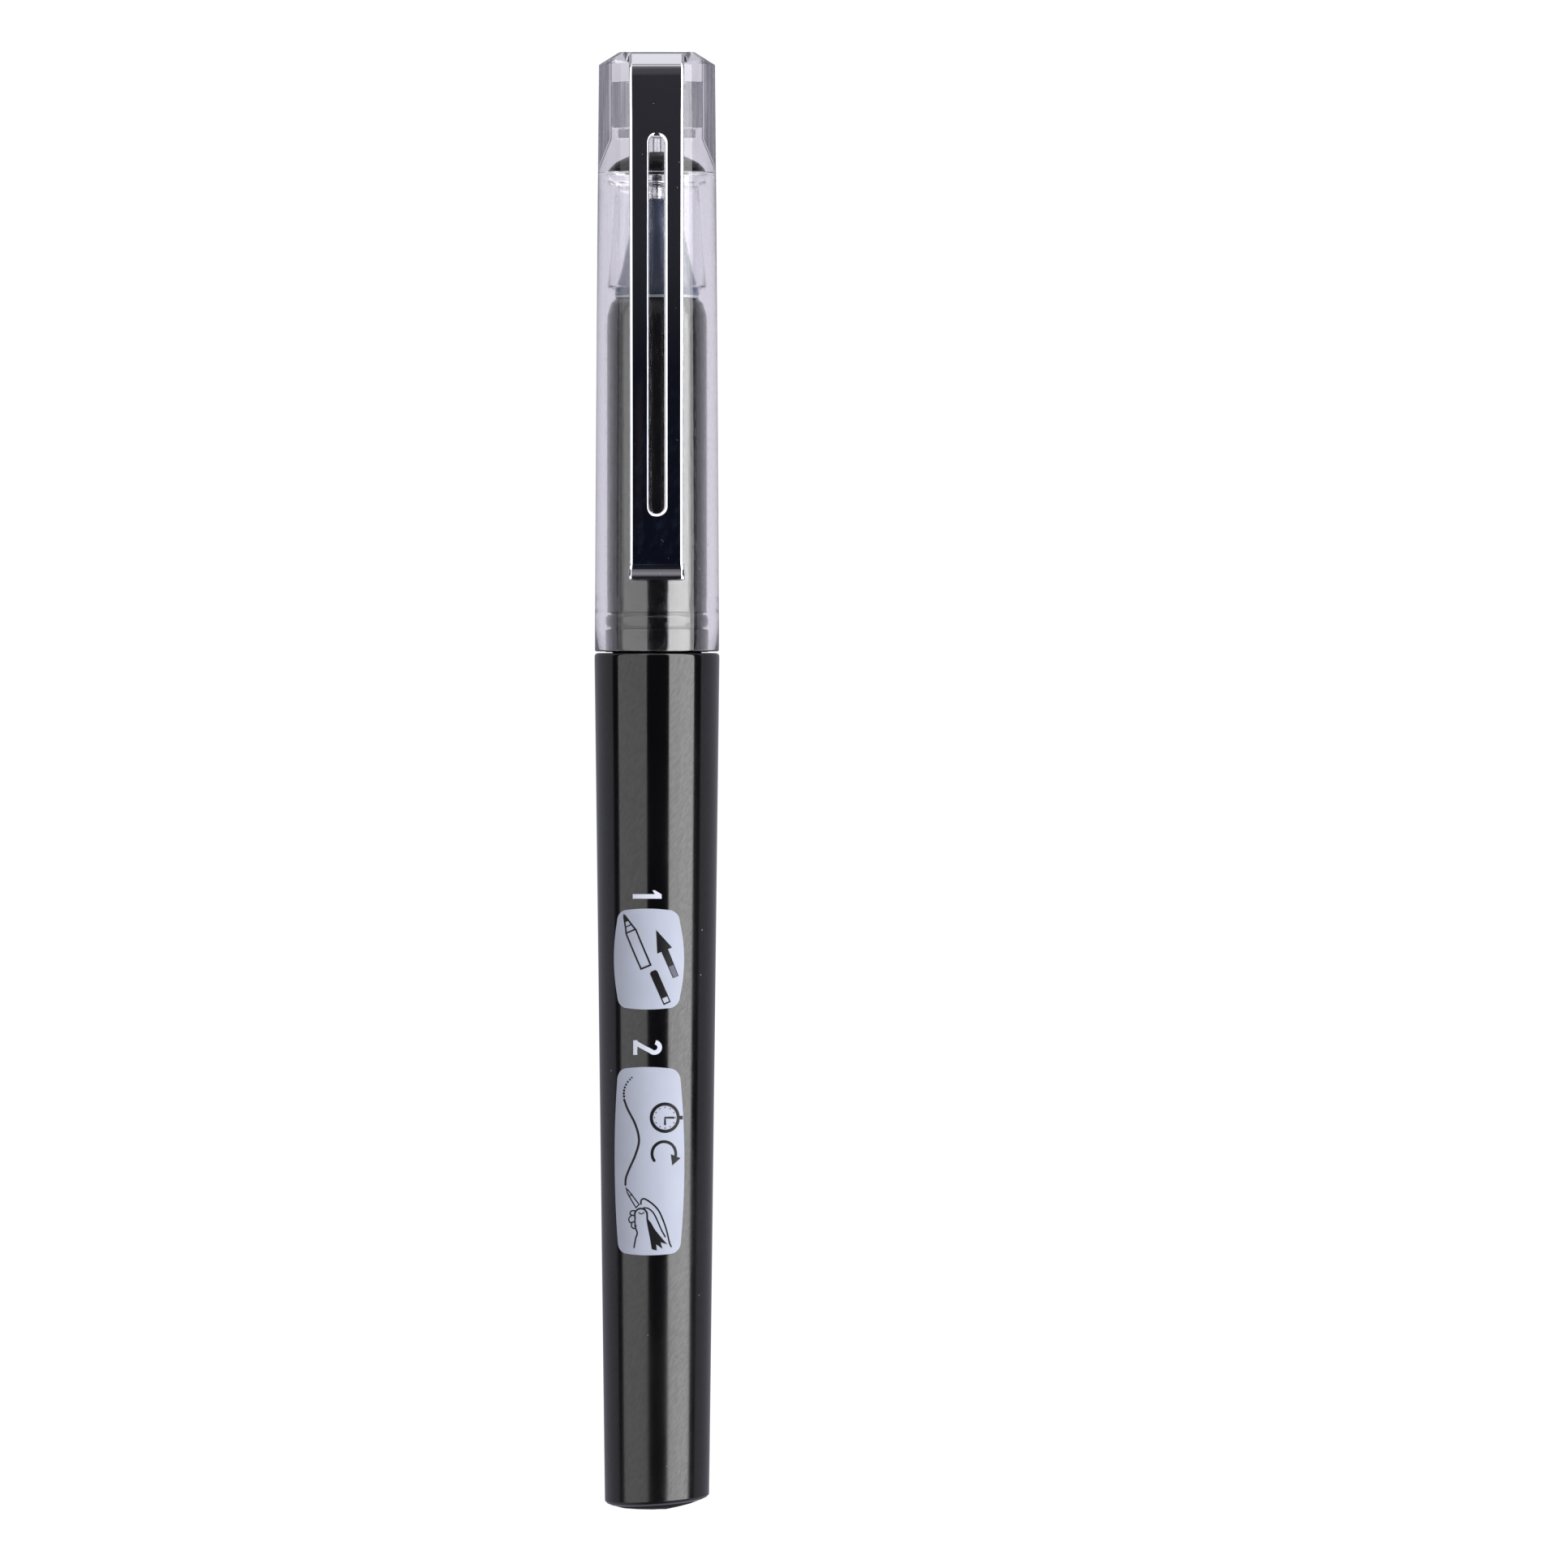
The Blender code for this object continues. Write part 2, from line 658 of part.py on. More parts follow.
    turned(
        "barrel",
        [
            (BARREL_R_MAX - 0.30, BARREL_FACE_Y),
            (BARREL_R_MAX - 0.08, BARREL_FACE_Y - 0.10),
            (BARREL_R_MAX, BARREL_FACE_Y - 0.35),
            (barrel_outer(-14.0), -14.0),
            (barrel_outer(-40.0), -40.0),
            (BARREL_END_R, BARREL_END_Y),
            (BARREL_END_R - 0.12, BARREL_END_Y - 0.42),
            (BARREL_END_R - 0.42, BARREL_END_Y - 0.76),
            (PLUG_RIM_R + 0.10, BARREL_END_Y - 0.90),
            (PLUG_RIM_R + 0.10, BARREL_END_Y - 0.15),
            (PLUG_STEM_R + 0.12, BARREL_END_Y - 0.15),
            (PLUG_STEM_R + 0.12, BARREL_BORE_END_Y),
            (BARREL_BORE_R1, BARREL_BORE_END_Y + 0.5),
            (BARREL_BORE_R0, BARREL_SOCKET_Y - 0.4),
            (BARREL_SOCKET_R, BARREL_SOCKET_Y),
            (BARREL_SOCKET_R, BARREL_FACE_Y - 1.2),
            (BARREL_SOCKET_R + 0.25, BARREL_FACE_Y - 0.2),
            (BARREL_SOCKET_R + 0.35, BARREL_FACE_Y),
        ],
        parts,
        black,
    )
    turned(
        "barrel_end_plug",
        [
            (0.0, -62.6),
            (2.6, -62.6),
            (2.6, -62.0),
            (PLUG_STEM_R - 0.15, -62.0),
            (PLUG_STEM_R, -62.3),
            (PLUG_STEM_R, BARREL_END_Y - 0.27),
            (PLUG_RIM_R, BARREL_END_Y - 0.27),
            (PLUG_RIM_R, BARREL_END_Y - 0.92),
            (3.30, -67.62),
            (2.20, -67.86),
            (PLUG_FLAT_R, -HALF),
            (0.0, -HALF),
        ],
        parts,
        black,
        steps=32,
        closed=False,
    )

    # --- cartridge: tube, end plug and sealing ball
    inner = CART_R - CART_WALL
    turned(
        "cartridge_tube",
        [
            (CART_MOUTH_R + 0.45, CART_MOUTH_Y),
            (CART_NECK_R, CART_MOUTH_Y - 0.4),
            (2.38, CART_SHOULDER_Y + 0.55),
            (2.62, CART_SHOULDER_Y),
            (3.40, CART_SHOULDER_Y - 0.55),
            (CART_R, CART_SHOULDER_Y - 1.05),
            (CART_R, CART_END_Y + 0.2),
            (CART_R - 0.2, CART_END_Y),
            (inner - 0.05, CART_END_Y),
            (inner - 0.05, CART_SHOULDER_Y - 1.35),
            (1.90, CART_SHOULDER_Y - 0.35),
            (CART_MOUTH_R, CART_SHOULDER_Y + 0.35),
            (CART_MOUTH_R, CART_MOUTH_Y),
        ],
        parts,
        poly,
    )
    turned(
        "cartridge_plug",
        [
            (0.0, CART_PLUG_Y),
            (2.90, CART_PLUG_Y),
            (3.10, CART_PLUG_Y - 0.4),
            (3.10, CART_END_Y + 0.15),
            (2.60, CART_END_Y + 0.15),
            (2.60, CART_PLUG_Y - 0.7),
            (0.0, CART_PLUG_Y - 0.7),
        ],
        parts,
        poly,
        steps=32,
        closed=False,
    )
    bm = bmesh.new()
    bmesh.ops.create_uvsphere(bm, u_segments=20, v_segments=12, radius=CART_BALL_R * MM)
    mesh = bpy.data.meshes.new("cartridge_ball")
    bm.to_mesh(mesh)
    bm.free()
    cart_ball = link("cartridge_ball", mesh, parts, poly_ball)
    cart_ball.location = (
        0.0,
        CART_BALL_Y * MM,
        (AXIS_Z - (inner - 0.05) + CART_BALL_R + 0.10) * MM,
    )
    smooth(cart_ball, 60.0)

    # turned pieces are round, with their real corners kept sharp
    bpy.context.view_layer.update()
    for tool in tools.objects:
        as_cutter(tool)


build()
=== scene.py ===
import math

import bmesh
import bpy
import numpy as np
from mathutils import Matrix, Vector


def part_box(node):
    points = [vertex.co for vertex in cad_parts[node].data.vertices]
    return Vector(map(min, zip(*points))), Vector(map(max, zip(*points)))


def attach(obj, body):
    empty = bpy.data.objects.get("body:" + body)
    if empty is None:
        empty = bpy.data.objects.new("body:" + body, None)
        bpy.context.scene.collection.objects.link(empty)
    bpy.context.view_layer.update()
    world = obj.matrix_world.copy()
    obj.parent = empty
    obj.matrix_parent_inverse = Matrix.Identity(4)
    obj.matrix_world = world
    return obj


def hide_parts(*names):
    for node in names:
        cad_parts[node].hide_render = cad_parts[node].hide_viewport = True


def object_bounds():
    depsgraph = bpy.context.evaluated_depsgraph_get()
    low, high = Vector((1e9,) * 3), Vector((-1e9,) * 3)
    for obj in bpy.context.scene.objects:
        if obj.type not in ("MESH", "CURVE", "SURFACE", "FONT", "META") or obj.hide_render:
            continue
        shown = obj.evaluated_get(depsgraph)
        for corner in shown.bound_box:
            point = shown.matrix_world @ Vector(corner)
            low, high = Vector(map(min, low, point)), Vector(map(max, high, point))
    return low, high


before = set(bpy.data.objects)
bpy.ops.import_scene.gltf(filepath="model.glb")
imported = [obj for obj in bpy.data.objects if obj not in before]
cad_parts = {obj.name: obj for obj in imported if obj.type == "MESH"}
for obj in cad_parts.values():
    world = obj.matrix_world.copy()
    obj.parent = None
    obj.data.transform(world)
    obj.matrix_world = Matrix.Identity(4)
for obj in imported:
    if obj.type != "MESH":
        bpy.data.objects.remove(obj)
cad_lo, cad_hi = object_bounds()
CAD_BOX = [[float(c) for c in cad_lo], [float(c) for c in cad_hi]]

MM = 0.001


class Box:
    """A node's box in millimetres, with its stations along the pen."""

    def __init__(self, node):
        lo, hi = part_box(node)
        self.lo = [c / MM for c in lo]
        self.hi = [c / MM for c in hi]
        self.y0, self.y1 = self.lo[1], self.hi[1]
        self.r = (self.hi[0] - self.lo[0]) / 2.0


CAP = Box("cap_shell")
INNER = Box("inner_cap")
SEAL = Box("tip_seal")
CLIP = Box("clip")
KEEP = Box("clip_retainer")
GRIP = Box("grip_section")
RING = Box("snap_ring")
NOSE = Box("nose_cone")
TUBE = Box("tip_tube")
BALL = Box("tip_ball")
WICK = Box("ink_wick")
COLL = Box("ink_collector")
PIERCE = Box("piercing_tube")
BAR = Box("barrel")
PLUG = Box("barrel_end_plug")
CTUBE = Box("cartridge_tube")
CPLUG = Box("cartridge_plug")
CBALL = Box("cartridge_ball")
ZC = (BAR.lo[2] + BAR.hi[2]) / 2.0          # height of the pen's axis

SC = bpy.context.scene
COL = bpy.data.collections.new("looks")
SC.collection.children.link(COL)

# --------------------------------------------------------------- materials


class Mat:
    """A small builder for node materials."""

    def __init__(self, name):
        self.m = bpy.data.materials.new(name)
        self.m.use_nodes = True
        self.t = self.m.node_tree
        self.b = self.t.nodes["Principled BSDF"]
        self.coord = None

    def set(self, **kw):
        for key, value in kw.items():
            socket = self.b.inputs[key.replace("_", " ")]
            if hasattr(socket.default_value, "__len__") and len(socket.default_value) == 4:
                value = (*value, 1.0) if len(value) == 3 else value
            socket.default_value = value
        return self

    def node(self, kind, **props):
        n = self.t.nodes.new(kind)
        for key, value in props.items():
            setattr(n, key, value)
        return n

    def link(self, a, b):
        self.t.links.new(a, b)

    def obj(self):
        if self.coord is None:
            self.coord = self.node("ShaderNodeTexCoord")
        return self.coord.outputs["Object"]

    def mapped(self, scale, rotation=(0, 0, 0)):
        mp = self.node("ShaderNodeMapping")
        mp.vector_type = "POINT"
        # rotate first, then stretch: two mappings in a row keep the order plain
        rot = self.node("ShaderNodeMapping")
        rot.inputs["Rotation"].default_value = rotation
        self.link(self.obj(), rot.inputs["Vector"])
        self.link(rot.outputs["Vector"], mp.inputs["Vector"])
        mp.inputs["Scale"].default_value = scale
        return mp.outputs["Vector"]

    def noise(self, scale, rotation=(0, 0, 0), detail=2.0, rough=0.5, size=1.0):
        n = self.node("ShaderNodeTexNoise")
        n.inputs["Scale"].default_value = size
        n.inputs["Detail"].default_value = detail
        n.inputs["Roughness"].default_value = rough
        self.link(self.mapped(scale, rotation), n.inputs["Vector"])
        return n.outputs["Fac"]

    def ramp(self, fac, stops):
        r = self.node("ShaderNodeValToRGB")
        els = r.color_ramp.elements
        while len(els) < len(stops):
            els.new(0.5)
        for el, (pos, col) in zip(els, stops):
            el.position = pos
            el.color = (*col, 1.0) if len(col) == 3 else (col[0],) * 3 + (1.0,)
        self.link(fac, r.inputs["Fac"])
        return r.outputs["Color"]

    def span(self, fac, lo, hi, to_lo, to_hi, smooth=False):
        n = self.node("ShaderNodeMapRange")
        if smooth:
            n.interpolation_type = "SMOOTHSTEP"
        for name, value in (("From Min", lo), ("From Max", hi), ("To Min", to_lo), ("To Max", to_hi)):
            n.inputs[name].default_value = value
        self.link(fac, n.inputs["Value"])
        return n.outputs["Result"]

    def math(self, op, a, b):
        n = self.node("ShaderNodeMath", operation=op)
        for socket, value in zip(n.inputs, (a, b)):
            if isinstance(value, (int, float)):
                socket.default_value = value
            else:
                self.link(value, socket)
        return n.outputs[0]

    def mix(self, fac, a, b):
        n = self.node("ShaderNodeMix", data_type="RGBA")
        if isinstance(fac, (int, float)):
            n.inputs["Factor"].default_value = fac
        else:
            self.link(fac, n.inputs["Factor"])
        for name, value in (("A", a), ("B", b)):
            socket = [s for s in n.inputs if s.name == name and s.type == "RGBA"][0]
            if isinstance(value, tuple):
                socket.default_value = (*value, 1.0)
            else:
                self.link(value, socket)
        return [s for s in n.outputs if s.type == "RGBA"][0]

    def bump(self, height, strength, distance):
        n = self.node("ShaderNodeBump")
        n.inputs["Strength"].default_value = strength
        n.inputs["Distance"].default_value = distance
        self.link(height, n.inputs["Height"])
        self.link(n.outputs["Normal"], self.b.inputs["Normal"])
        return n

    def hairlines(self, angle, width=0.035, length=1.6, cut=0.66, seed=0.0):
        """Fine scratches along one direction: 1 on a scratch, 0 between."""
        vec = self.mapped(
            (1.0 / (width * MM), 1.0 / (length * MM), 1.0 / (width * 3 * MM)),
            (0.0, 0.0, angle),
        )
        add = self.node("ShaderNodeVectorMath", operation="ADD")
        add.inputs[1].default_value = (seed, seed * 1.7, seed * 0.3)
        self.link(vec, add.inputs[0])
        n = self.node("ShaderNodeTexNoise")
        n.inputs["Scale"].default_value = 1.0
        n.inputs["Detail"].default_value = 0.0
        self.link(add.outputs[0], n.inputs["Vector"])
        return self.span(n.outputs["Fac"], cut, cut + 0.07, 0.0, 1.0, smooth=True)


def black_gloss(name, base=(0.0006, 0.0006, 0.0008), rough=(0.055, 0.13), scratch=1.0):
    """Glossy moulded black: a slow flow waviness, hairline handling marks and rare dust."""
    m = Mat(name)
    m.set(Specular_IOR_Level=0.5, IOR=1.5)
    cloud = m.noise((220.0, 60.0, 220.0), detail=4.0)
    marks = m.math(
        "MAXIMUM",
        m.hairlines(math.radians(38), 0.045, 2.0, 0.665, 3.1),
        m.math(
            "MAXIMUM",
            m.hairlines(math.radians(-31), 0.04, 1.5, 0.68, 9.7),
            m.hairlines(math.radians(4), 0.05, 4.5, 0.69, 5.3),
        ),
    )
    patch = m.span(m.noise((140.0, 90.0, 140.0), detail=2.0), 0.42, 0.66, 0.15, 1.0)
    marks = m.math("MULTIPLY", marks, patch)
    sep = m.node("ShaderNodeSeparateXYZ")
    m.link(m.obj(), sep.inputs[0])
    worn = m.span(sep.outputs["Y"], BAR.y1 * MM, BAR.y0 * MM, 0.0, 0.11)
    rough_sock = m.math("ADD", m.span(cloud, 0.3, 0.7, rough[0], rough[1]), m.math("MULTIPLY", marks, 0.07 * scratch))
    rough_sock = m.math("ADD", rough_sock, worn)
    m.link(rough_sock, m.b.inputs["Roughness"])
    dust = m.node("ShaderNodeTexVoronoi")
    dust.inputs["Scale"].default_value = 520.0
    m.link(m.obj(), dust.inputs["Vector"])
    speck = m.span(dust.outputs["Distance"], 0.035, 0.055, 1.0, 0.0)
    rare = m.span(m.noise((900.0, 900.0, 900.0), detail=0.0), 0.60, 0.63, 0.0, 1.0)
    speck = m.math("MULTIPLY", speck, rare)
    tone = m.mix(m.span(cloud, 0.35, 0.65, 0.0, 1.0), base, tuple(c * 1.6 for c in base))
    tone = m.mix(m.math("MULTIPLY", marks, 0.10), tone, (0.006, 0.006, 0.007))
    m.link(m.mix(m.math("MULTIPLY", speck, 0.8), tone, (0.16, 0.165, 0.19)), m.b.inputs["Base Color"])
    streak = m.span(m.noise((5200.0, 900.0, 5200.0), (0, 0, math.radians(36)), detail=2.0), 0.35, 0.65, 0.0, 0.12)
    m.link(m.math("SUBTRACT", m.math("SUBTRACT", 0.79, m.math("MULTIPLY", marks, 0.14)), streak), m.b.inputs["Specular IOR Level"])
    flow = m.noise((70.0, 12.0, 70.0), detail=1.0)
    fine = m.math("SUBTRACT", m.math("MULTIPLY", flow, 1.0), m.math("MULTIPLY", marks, 0.0015 * scratch))
    m.bump(fine, 0.35, 0.00012)
    return m.m


def clear_plastic(name, tint=(0.985, 0.982, 0.995), ior=1.49, rough=0.0, wave=0.5, milk=0.0):
    """Clear moulded plastic: faint flow lines along the pen and hairline scuffs."""
    m = Mat(name)
    m.set(Base_Color=tint, IOR=ior, Transmission_Weight=1.0)
    marks = m.math(
        "MAXIMUM",
        m.hairlines(math.radians(33), 0.03, 1.4, 0.70, 2.2),
        m.hairlines(math.radians(-8), 0.03, 3.0, 0.71, 7.9),
    )
    haze = m.span(m.noise((160.0, 40.0, 160.0), detail=3.0), 0.45, 0.75, rough, rough + 0.02 + milk)
    m.link(m.math("ADD", haze, m.math("MULTIPLY", marks, 0.12)), m.b.inputs["Roughness"])
    flow = m.noise((95.0, 9.0, 95.0), detail=1.5)
    m.bump(m.math("ADD", flow, m.math("MULTIPLY", marks, -0.02)), wave, 0.00008)
    return m.m


def smoke_plastic(name):
    """Translucent blue-grey nose: clear base with an ink-dark core tone."""
    m = Mat(name)
    m.set(IOR=1.49, Transmission_Weight=0.72)
    cloud = m.noise((300.0, 90.0, 300.0), detail=3.0)
    m.link(m.mix(m.span(cloud, 0.3, 0.7, 0.0, 1.0), (0.15, 0.19, 0.30), (0.21, 0.26, 0.385)), m.b.inputs["Base Color"])
    m.link(m.span(cloud, 0.3, 0.7, 0.06, 0.16), m.b.inputs["Roughness"])
    m.bump(m.noise((160.0, 20.0, 160.0), detail=1.0), 0.3, 0.00006)
    return m.m


def black_chrome(name):
    """Dark mirror plating: slightly grained, fading to blue-black at the free end."""
    m = Mat(name)
    m.set(Metallic=1.0)
    sep = m.node("ShaderNodeSeparateXYZ")
    m.link(m.obj(), sep.inputs[0])
    along = m.span(sep.outputs["Y"], CLIP.y0 * MM, CLIP.y1 * MM, 0.0, 1.0)
    tone = m.ramp(
        along,
        [
            (0.0, (0.33, 0.325, 0.36)),
            (0.022, (0.33, 0.325, 0.36)),
            (0.030, (0.085, 0.105, 0.19)),
            (0.40, (0.12, 0.13, 0.20)),
            (0.62, (0.42, 0.42, 0.48)),
            (1.0, (0.62, 0.615, 0.66)),
        ],
    )
    # cloudy blue oxide over the lower half
    cloudy = m.span(m.noise((1500.0, 700.0, 1500.0), (0, 0, math.radians(30)), detail=5.0, rough=0.7), 0.50, 0.72, 0.0, 1.0)
    lower = m.math("MULTIPLY", m.span(along, 0.20, 0.50, 1.0, 0.0, smooth=True), m.span(along, 0.022, 0.034, 0.0, 1.0))
    tone = m.mix(m.math("MULTIPLY", cloudy, lower), tone, (0.22, 0.32, 0.52))
    # a faint warm oxide streak down the left strip
    streak_x = m.span(sep.outputs["X"], -2.05 * MM, -1.35 * MM, 0.0, 1.0)
    bell = m.math("MULTIPLY", streak_x, m.span(sep.outputs["X"], -1.95 * MM, -1.15 * MM, 1.0, 0.0))
    zone = m.math(
        "MULTIPLY",
        m.span(along, 0.04, 0.14, 0.0, 1.0, smooth=True),
        m.span(along, 0.30, 0.42, 1.0, 0.0, smooth=True),
    )
    warm = m.math("MULTIPLY", m.math("MULTIPLY", bell, zone), m.span(m.noise((500.0, 60.0, 500.0), detail=2.0), 0.35, 0.6, 0.2, 1.0))
    tone = m.mix(m.math("MULTIPLY", warm, 0.9), tone, (0.75, 0.50, 0.42))
    dust = m.node("ShaderNodeTexVoronoi")
    dust.inputs["Scale"].default_value = 1900.0
    m.link(m.obj(), dust.inputs["Vector"])
    speck = m.math(
        "MULTIPLY",
        m.span(dust.outputs["Distance"], 0.05, 0.08, 1.0, 0.0),
        m.span(m.noise((1900.0, 1900.0, 1900.0), detail=0.0), 0.55, 0.62, 0.0, 1.0),
    )
    tone = m.mix(m.math("MULTIPLY", speck, 0.45), tone, (0.8, 0.8, 0.85))
    # painted highlight: the coined edges, and below the fold the faces turned toward the cap's top end, are painted
    # near-white by the way they face
    face = m.node("ShaderNodeSeparateXYZ")
    m.link(m.coord.outputs["Normal"], face.inputs[0])
    edge = m.span(m.math("ABSOLUTE", face.outputs["X"], 0.0), 0.16, 0.30, 0.0, 1.0, smooth=True)
    top_facing_highlight = m.span(face.outputs["Y"], 0.42, 0.55, 0.0, 1.0, smooth=True)
    top_facing_highlight = m.math("MULTIPLY", top_facing_highlight, m.span(along, 0.86, 0.90, 1.0, 0.0))
    m.link(m.mix(m.math("MAXIMUM", edge, top_facing_highlight), tone, (0.88, 0.87, 0.90)), m.b.inputs["Base Color"])
    grain = m.noise((9000.0, 2600.0, 9000.0), detail=2.0)
    marks = m.hairlines(math.radians(24), 0.03, 1.2, 0.72, 4.4)
    rough = m.math("ADD", m.span(grain, 0.3, 0.7, 0.07, 0.11), m.math("MULTIPLY", marks, 0.02))
    m.link(m.math("ADD", rough, m.math("MULTIPLY", speck, 0.3)), m.b.inputs["Roughness"])
    m.bump(m.math("ADD", m.math("MULTIPLY", grain, 0.05), m.noise((120.0, 25.0, 120.0), detail=1.0)), 0.25, 0.00005)
    return m.m


def steel(name, tone=(0.66, 0.66, 0.68), rough=(0.14, 0.30)):
    """Turned steel: fine rings round the axis."""
    m = Mat(name)
    m.set(Metallic=1.0)
    rings = m.noise((300.0, 26000.0, 300.0), detail=2.0)
    m.link(m.span(rings, 0.3, 0.7, rough[0], rough[1]), m.b.inputs["Roughness"])
    m.link(m.mix(m.span(rings, 0.35, 0.65, 0.0, 1.0), tuple(c * 0.82 for c in tone), tone), m.b.inputs["Base Color"])
    m.bump(rings, 0.3, 0.00001)
    return m.m


def plain_plastic(name, tone, rough=(0.30, 0.42), grain=4000.0, spec=0.5, transmission=0.0):
    m = Mat(name)
    m.set(Specular_IOR_Level=spec)
    if transmission:
        m.set(Transmission_Weight=transmission, IOR=1.5)
    n = m.noise((grain, grain * 0.4, grain), detail=3.0)
    cloud = m.noise((260.0, 120.0, 260.0), detail=2.0)
    m.link(m.mix(m.span(cloud, 0.3, 0.7, 0.0, 1.0), tuple(c * 0.88 for c in tone), tone), m.b.inputs["Base Color"])
    m.link(m.span(n, 0.3, 0.7, rough[0], rough[1]), m.b.inputs["Roughness"])
    m.bump(n, 0.15, 0.00002)
    return m.m


def rubber(name):
    m = Mat(name)
    n = m.noise((5200.0, 5200.0, 5200.0), detail=4.0)
    m.link(m.mix(m.span(n, 0.3, 0.7, 0.0, 1.0), (0.002, 0.002, 0.002), (0.005, 0.005, 0.006)), m.b.inputs["Base Color"])
    m.set(Specular_IOR_Level=0.25)
    m.link(m.span(n, 0.3, 0.7, 0.35, 0.55), m.b.inputs["Roughness"])
    m.bump(n, 0.3, 0.00003)
    return m.m


def fibre(name):
    m = Mat(name)
    n = m.noise((14000.0, 700.0, 14000.0), detail=3.0)
    m.link(m.mix(m.span(n, 0.35, 0.65, 0.0, 1.0), (0.012, 0.014, 0.05), (0.06, 0.07, 0.16)), m.b.inputs["Base Color"])
    m.set(Roughness=0.85)
    m.bump(n, 0.8, 0.00004)
    return m.m


def print_ink(name, tone, rough=0.42):
    """Screen-printed ink: slightly uneven, with pin-holes too small to open up."""
    m = Mat(name)
    m.set(Specular_IOR_Level=0.22)
    n = m.noise((6000.0, 6000.0, 6000.0), detail=2.0)
    broad = m.noise((500.0, 300.0, 500.0), detail=2.0)
    m.link(m.mix(m.span(broad, 0.3, 0.7, 0.0, 1.0), tuple(c * 0.93 for c in tone), tone), m.b.inputs["Base Color"])
    m.link(m.span(n, 0.3, 0.7, rough - 0.06, rough + 0.08), m.b.inputs["Roughness"])
    m.bump(n, 0.12, 0.00001)
    return m.m


M_BARREL = black_gloss("barrel_gloss_black")
M_GRIP = black_gloss("grip_gloss_black", scratch=0.4)
M_MATT = plain_plastic("plug_matt_black", (0.0016, 0.0016, 0.0020), rough=(0.45, 0.6), spec=0.06)


def cap_plastic_painted_shade():
    """The cap: clear, with a painted shade that greys the solid crown outside the seal's cone."""
    mat = clear_plastic("cap_clear", ior=1.53)
    m = Mat.__new__(Mat)
    m.m, m.t, m.b, m.coord = mat, mat.node_tree, mat.node_tree.nodes["Principled BSDF"], None
    sep = m.node("ShaderNodeSeparateXYZ")
    m.link(m.obj(), sep.inputs[0])
    y = sep.outputs["Y"]
    side = m.math("ABSOLUTE", sep.outputs["X"], 0.0)
    # the apparent cone edge: close to the axis high up, out to the wall at the seal's foot
    edge = m.span(y, SEAL.y0 * MM, (SEAL.y1 + 0.85) * MM, 5.45 * MM, 4.12 * MM)
    off = m.math("DIVIDE", m.math("SUBTRACT", side, edge), 1.0 * MM)
    out = m.span(off, 0.0, 0.14, 0.0, 1.0, smooth=True)
    painted_cone_line = m.math("MULTIPLY", m.span(off, 0.17, 0.22, 0.0, 1.0), m.span(off, 0.24, 0.30, 1.0, 0.0))
    out = m.math("SUBTRACT", out, m.math("MULTIPLY", painted_cone_line, 0.9))
    high = m.span(y, (SEAL.y0 + 0.1) * MM, (SEAL.y0 + 0.35) * MM, 0.0, 1.0)
    crown_shade_streaks = m.span(m.noise((2600.0, 130.0, 2600.0), detail=2.0), 0.36, 0.62, 0.84, 1.0)
    # painted shade: the crown's sides outside the cone are painted near-black grey, in streaks along the pen, with a
    # lighter painted line just outside the cone's edge
    grey = m.math("MULTIPLY", m.math("MULTIPLY", out, high), crown_shade_streaks)
    # painted shade: a faint grey painted over the whole crown, for the thick plastic's darker look
    mid = m.math("MULTIPLY", high, m.span(m.noise((1400.0, 700.0, 1400.0), detail=3.0), 0.35, 0.65, 0.55, 1.0))
    tone = m.mix(m.math("MULTIPLY", mid, 0.12), (0.985, 0.982, 0.995), (0.72, 0.72, 0.75))
    m.link(m.mix(m.math("MULTIPLY", grey, 0.97), tone, (0.055, 0.055, 0.068)), m.b.inputs["Base Color"])
    return mat


M_CAP = cap_plastic_painted_shade()
M_INNER = clear_plastic("inner_cap_clear", tint=(0.975, 0.972, 0.985), ior=1.42, rough=0.01, wave=0.3)
M_KEEP = clear_plastic("retainer_clear", tint=(0.985, 0.985, 0.99), ior=1.24, rough=0.02, wave=0.3, milk=0.01)
M_SEAL = rubber("seal_rubber_fine")
M_CLIP = black_chrome("clip_black_chrome")
M_NOSE = smoke_plastic("nose_smoke")
M_STEEL = steel("point_steel", (0.72, 0.72, 0.74))
M_CARBIDE = steel("ball_carbide", (0.42, 0.42, 0.44), (0.05, 0.12))
M_FIBRE = fibre("wick_fibre_fine")
M_ABS = plain_plastic("collector_plastic", (0.50, 0.54, 0.60))
M_CART = clear_plastic("cartridge_clear", tint=(0.93, 0.94, 0.96), ior=1.50, rough=0.06, wave=0.4, milk=0.10)
M_INK = plain_plastic("ink_black", (0.004, 0.004, 0.008), rough=(0.05, 0.12))
M_POLYBALL = plain_plastic("sealing_ball_plastic", (0.72, 0.72, 0.74), rough=(0.2, 0.3))
M_WHITE = print_ink("print_white", (0.315, 0.335, 0.41))
M_NUMERAL = print_ink("print_numeral", (0.47, 0.49, 0.56))
M_ART = print_ink("print_dark", (0.003, 0.003, 0.004), 0.40)
M_GREYART = print_ink("print_grey", (0.085, 0.09, 0.12), 0.4)

# ---------------------------------------------------------------- mesh tools


def add_mesh(name, verts, faces, mat, body, replaces=None, sharp=32.0, smooth=True):
    me = bpy.data.meshes.new(name)
    me.from_pydata([tuple(v) for v in verts], [], faces)
    me.validate()
    ob = bpy.data.objects.new(name, me)
    COL.objects.link(ob)
    finish_piece(ob, mat, body, replaces, sharp, smooth)
    return ob


def finish_piece(ob, mat, body, replaces=None, sharp=32.0, smooth=True):
    me = ob.data
    bm = bmesh.new()
    bm.from_mesh(me)
    bmesh.ops.recalc_face_normals(bm, faces=bm.faces)
    bm.to_mesh(me)
    bm.free()
    if smooth:
        me.shade_smooth()
        me.set_sharp_from_angle(angle=math.radians(sharp))
    me.materials.clear()
    me.materials.append(mat)
    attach(ob, body)
    if replaces:
        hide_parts(replaces)


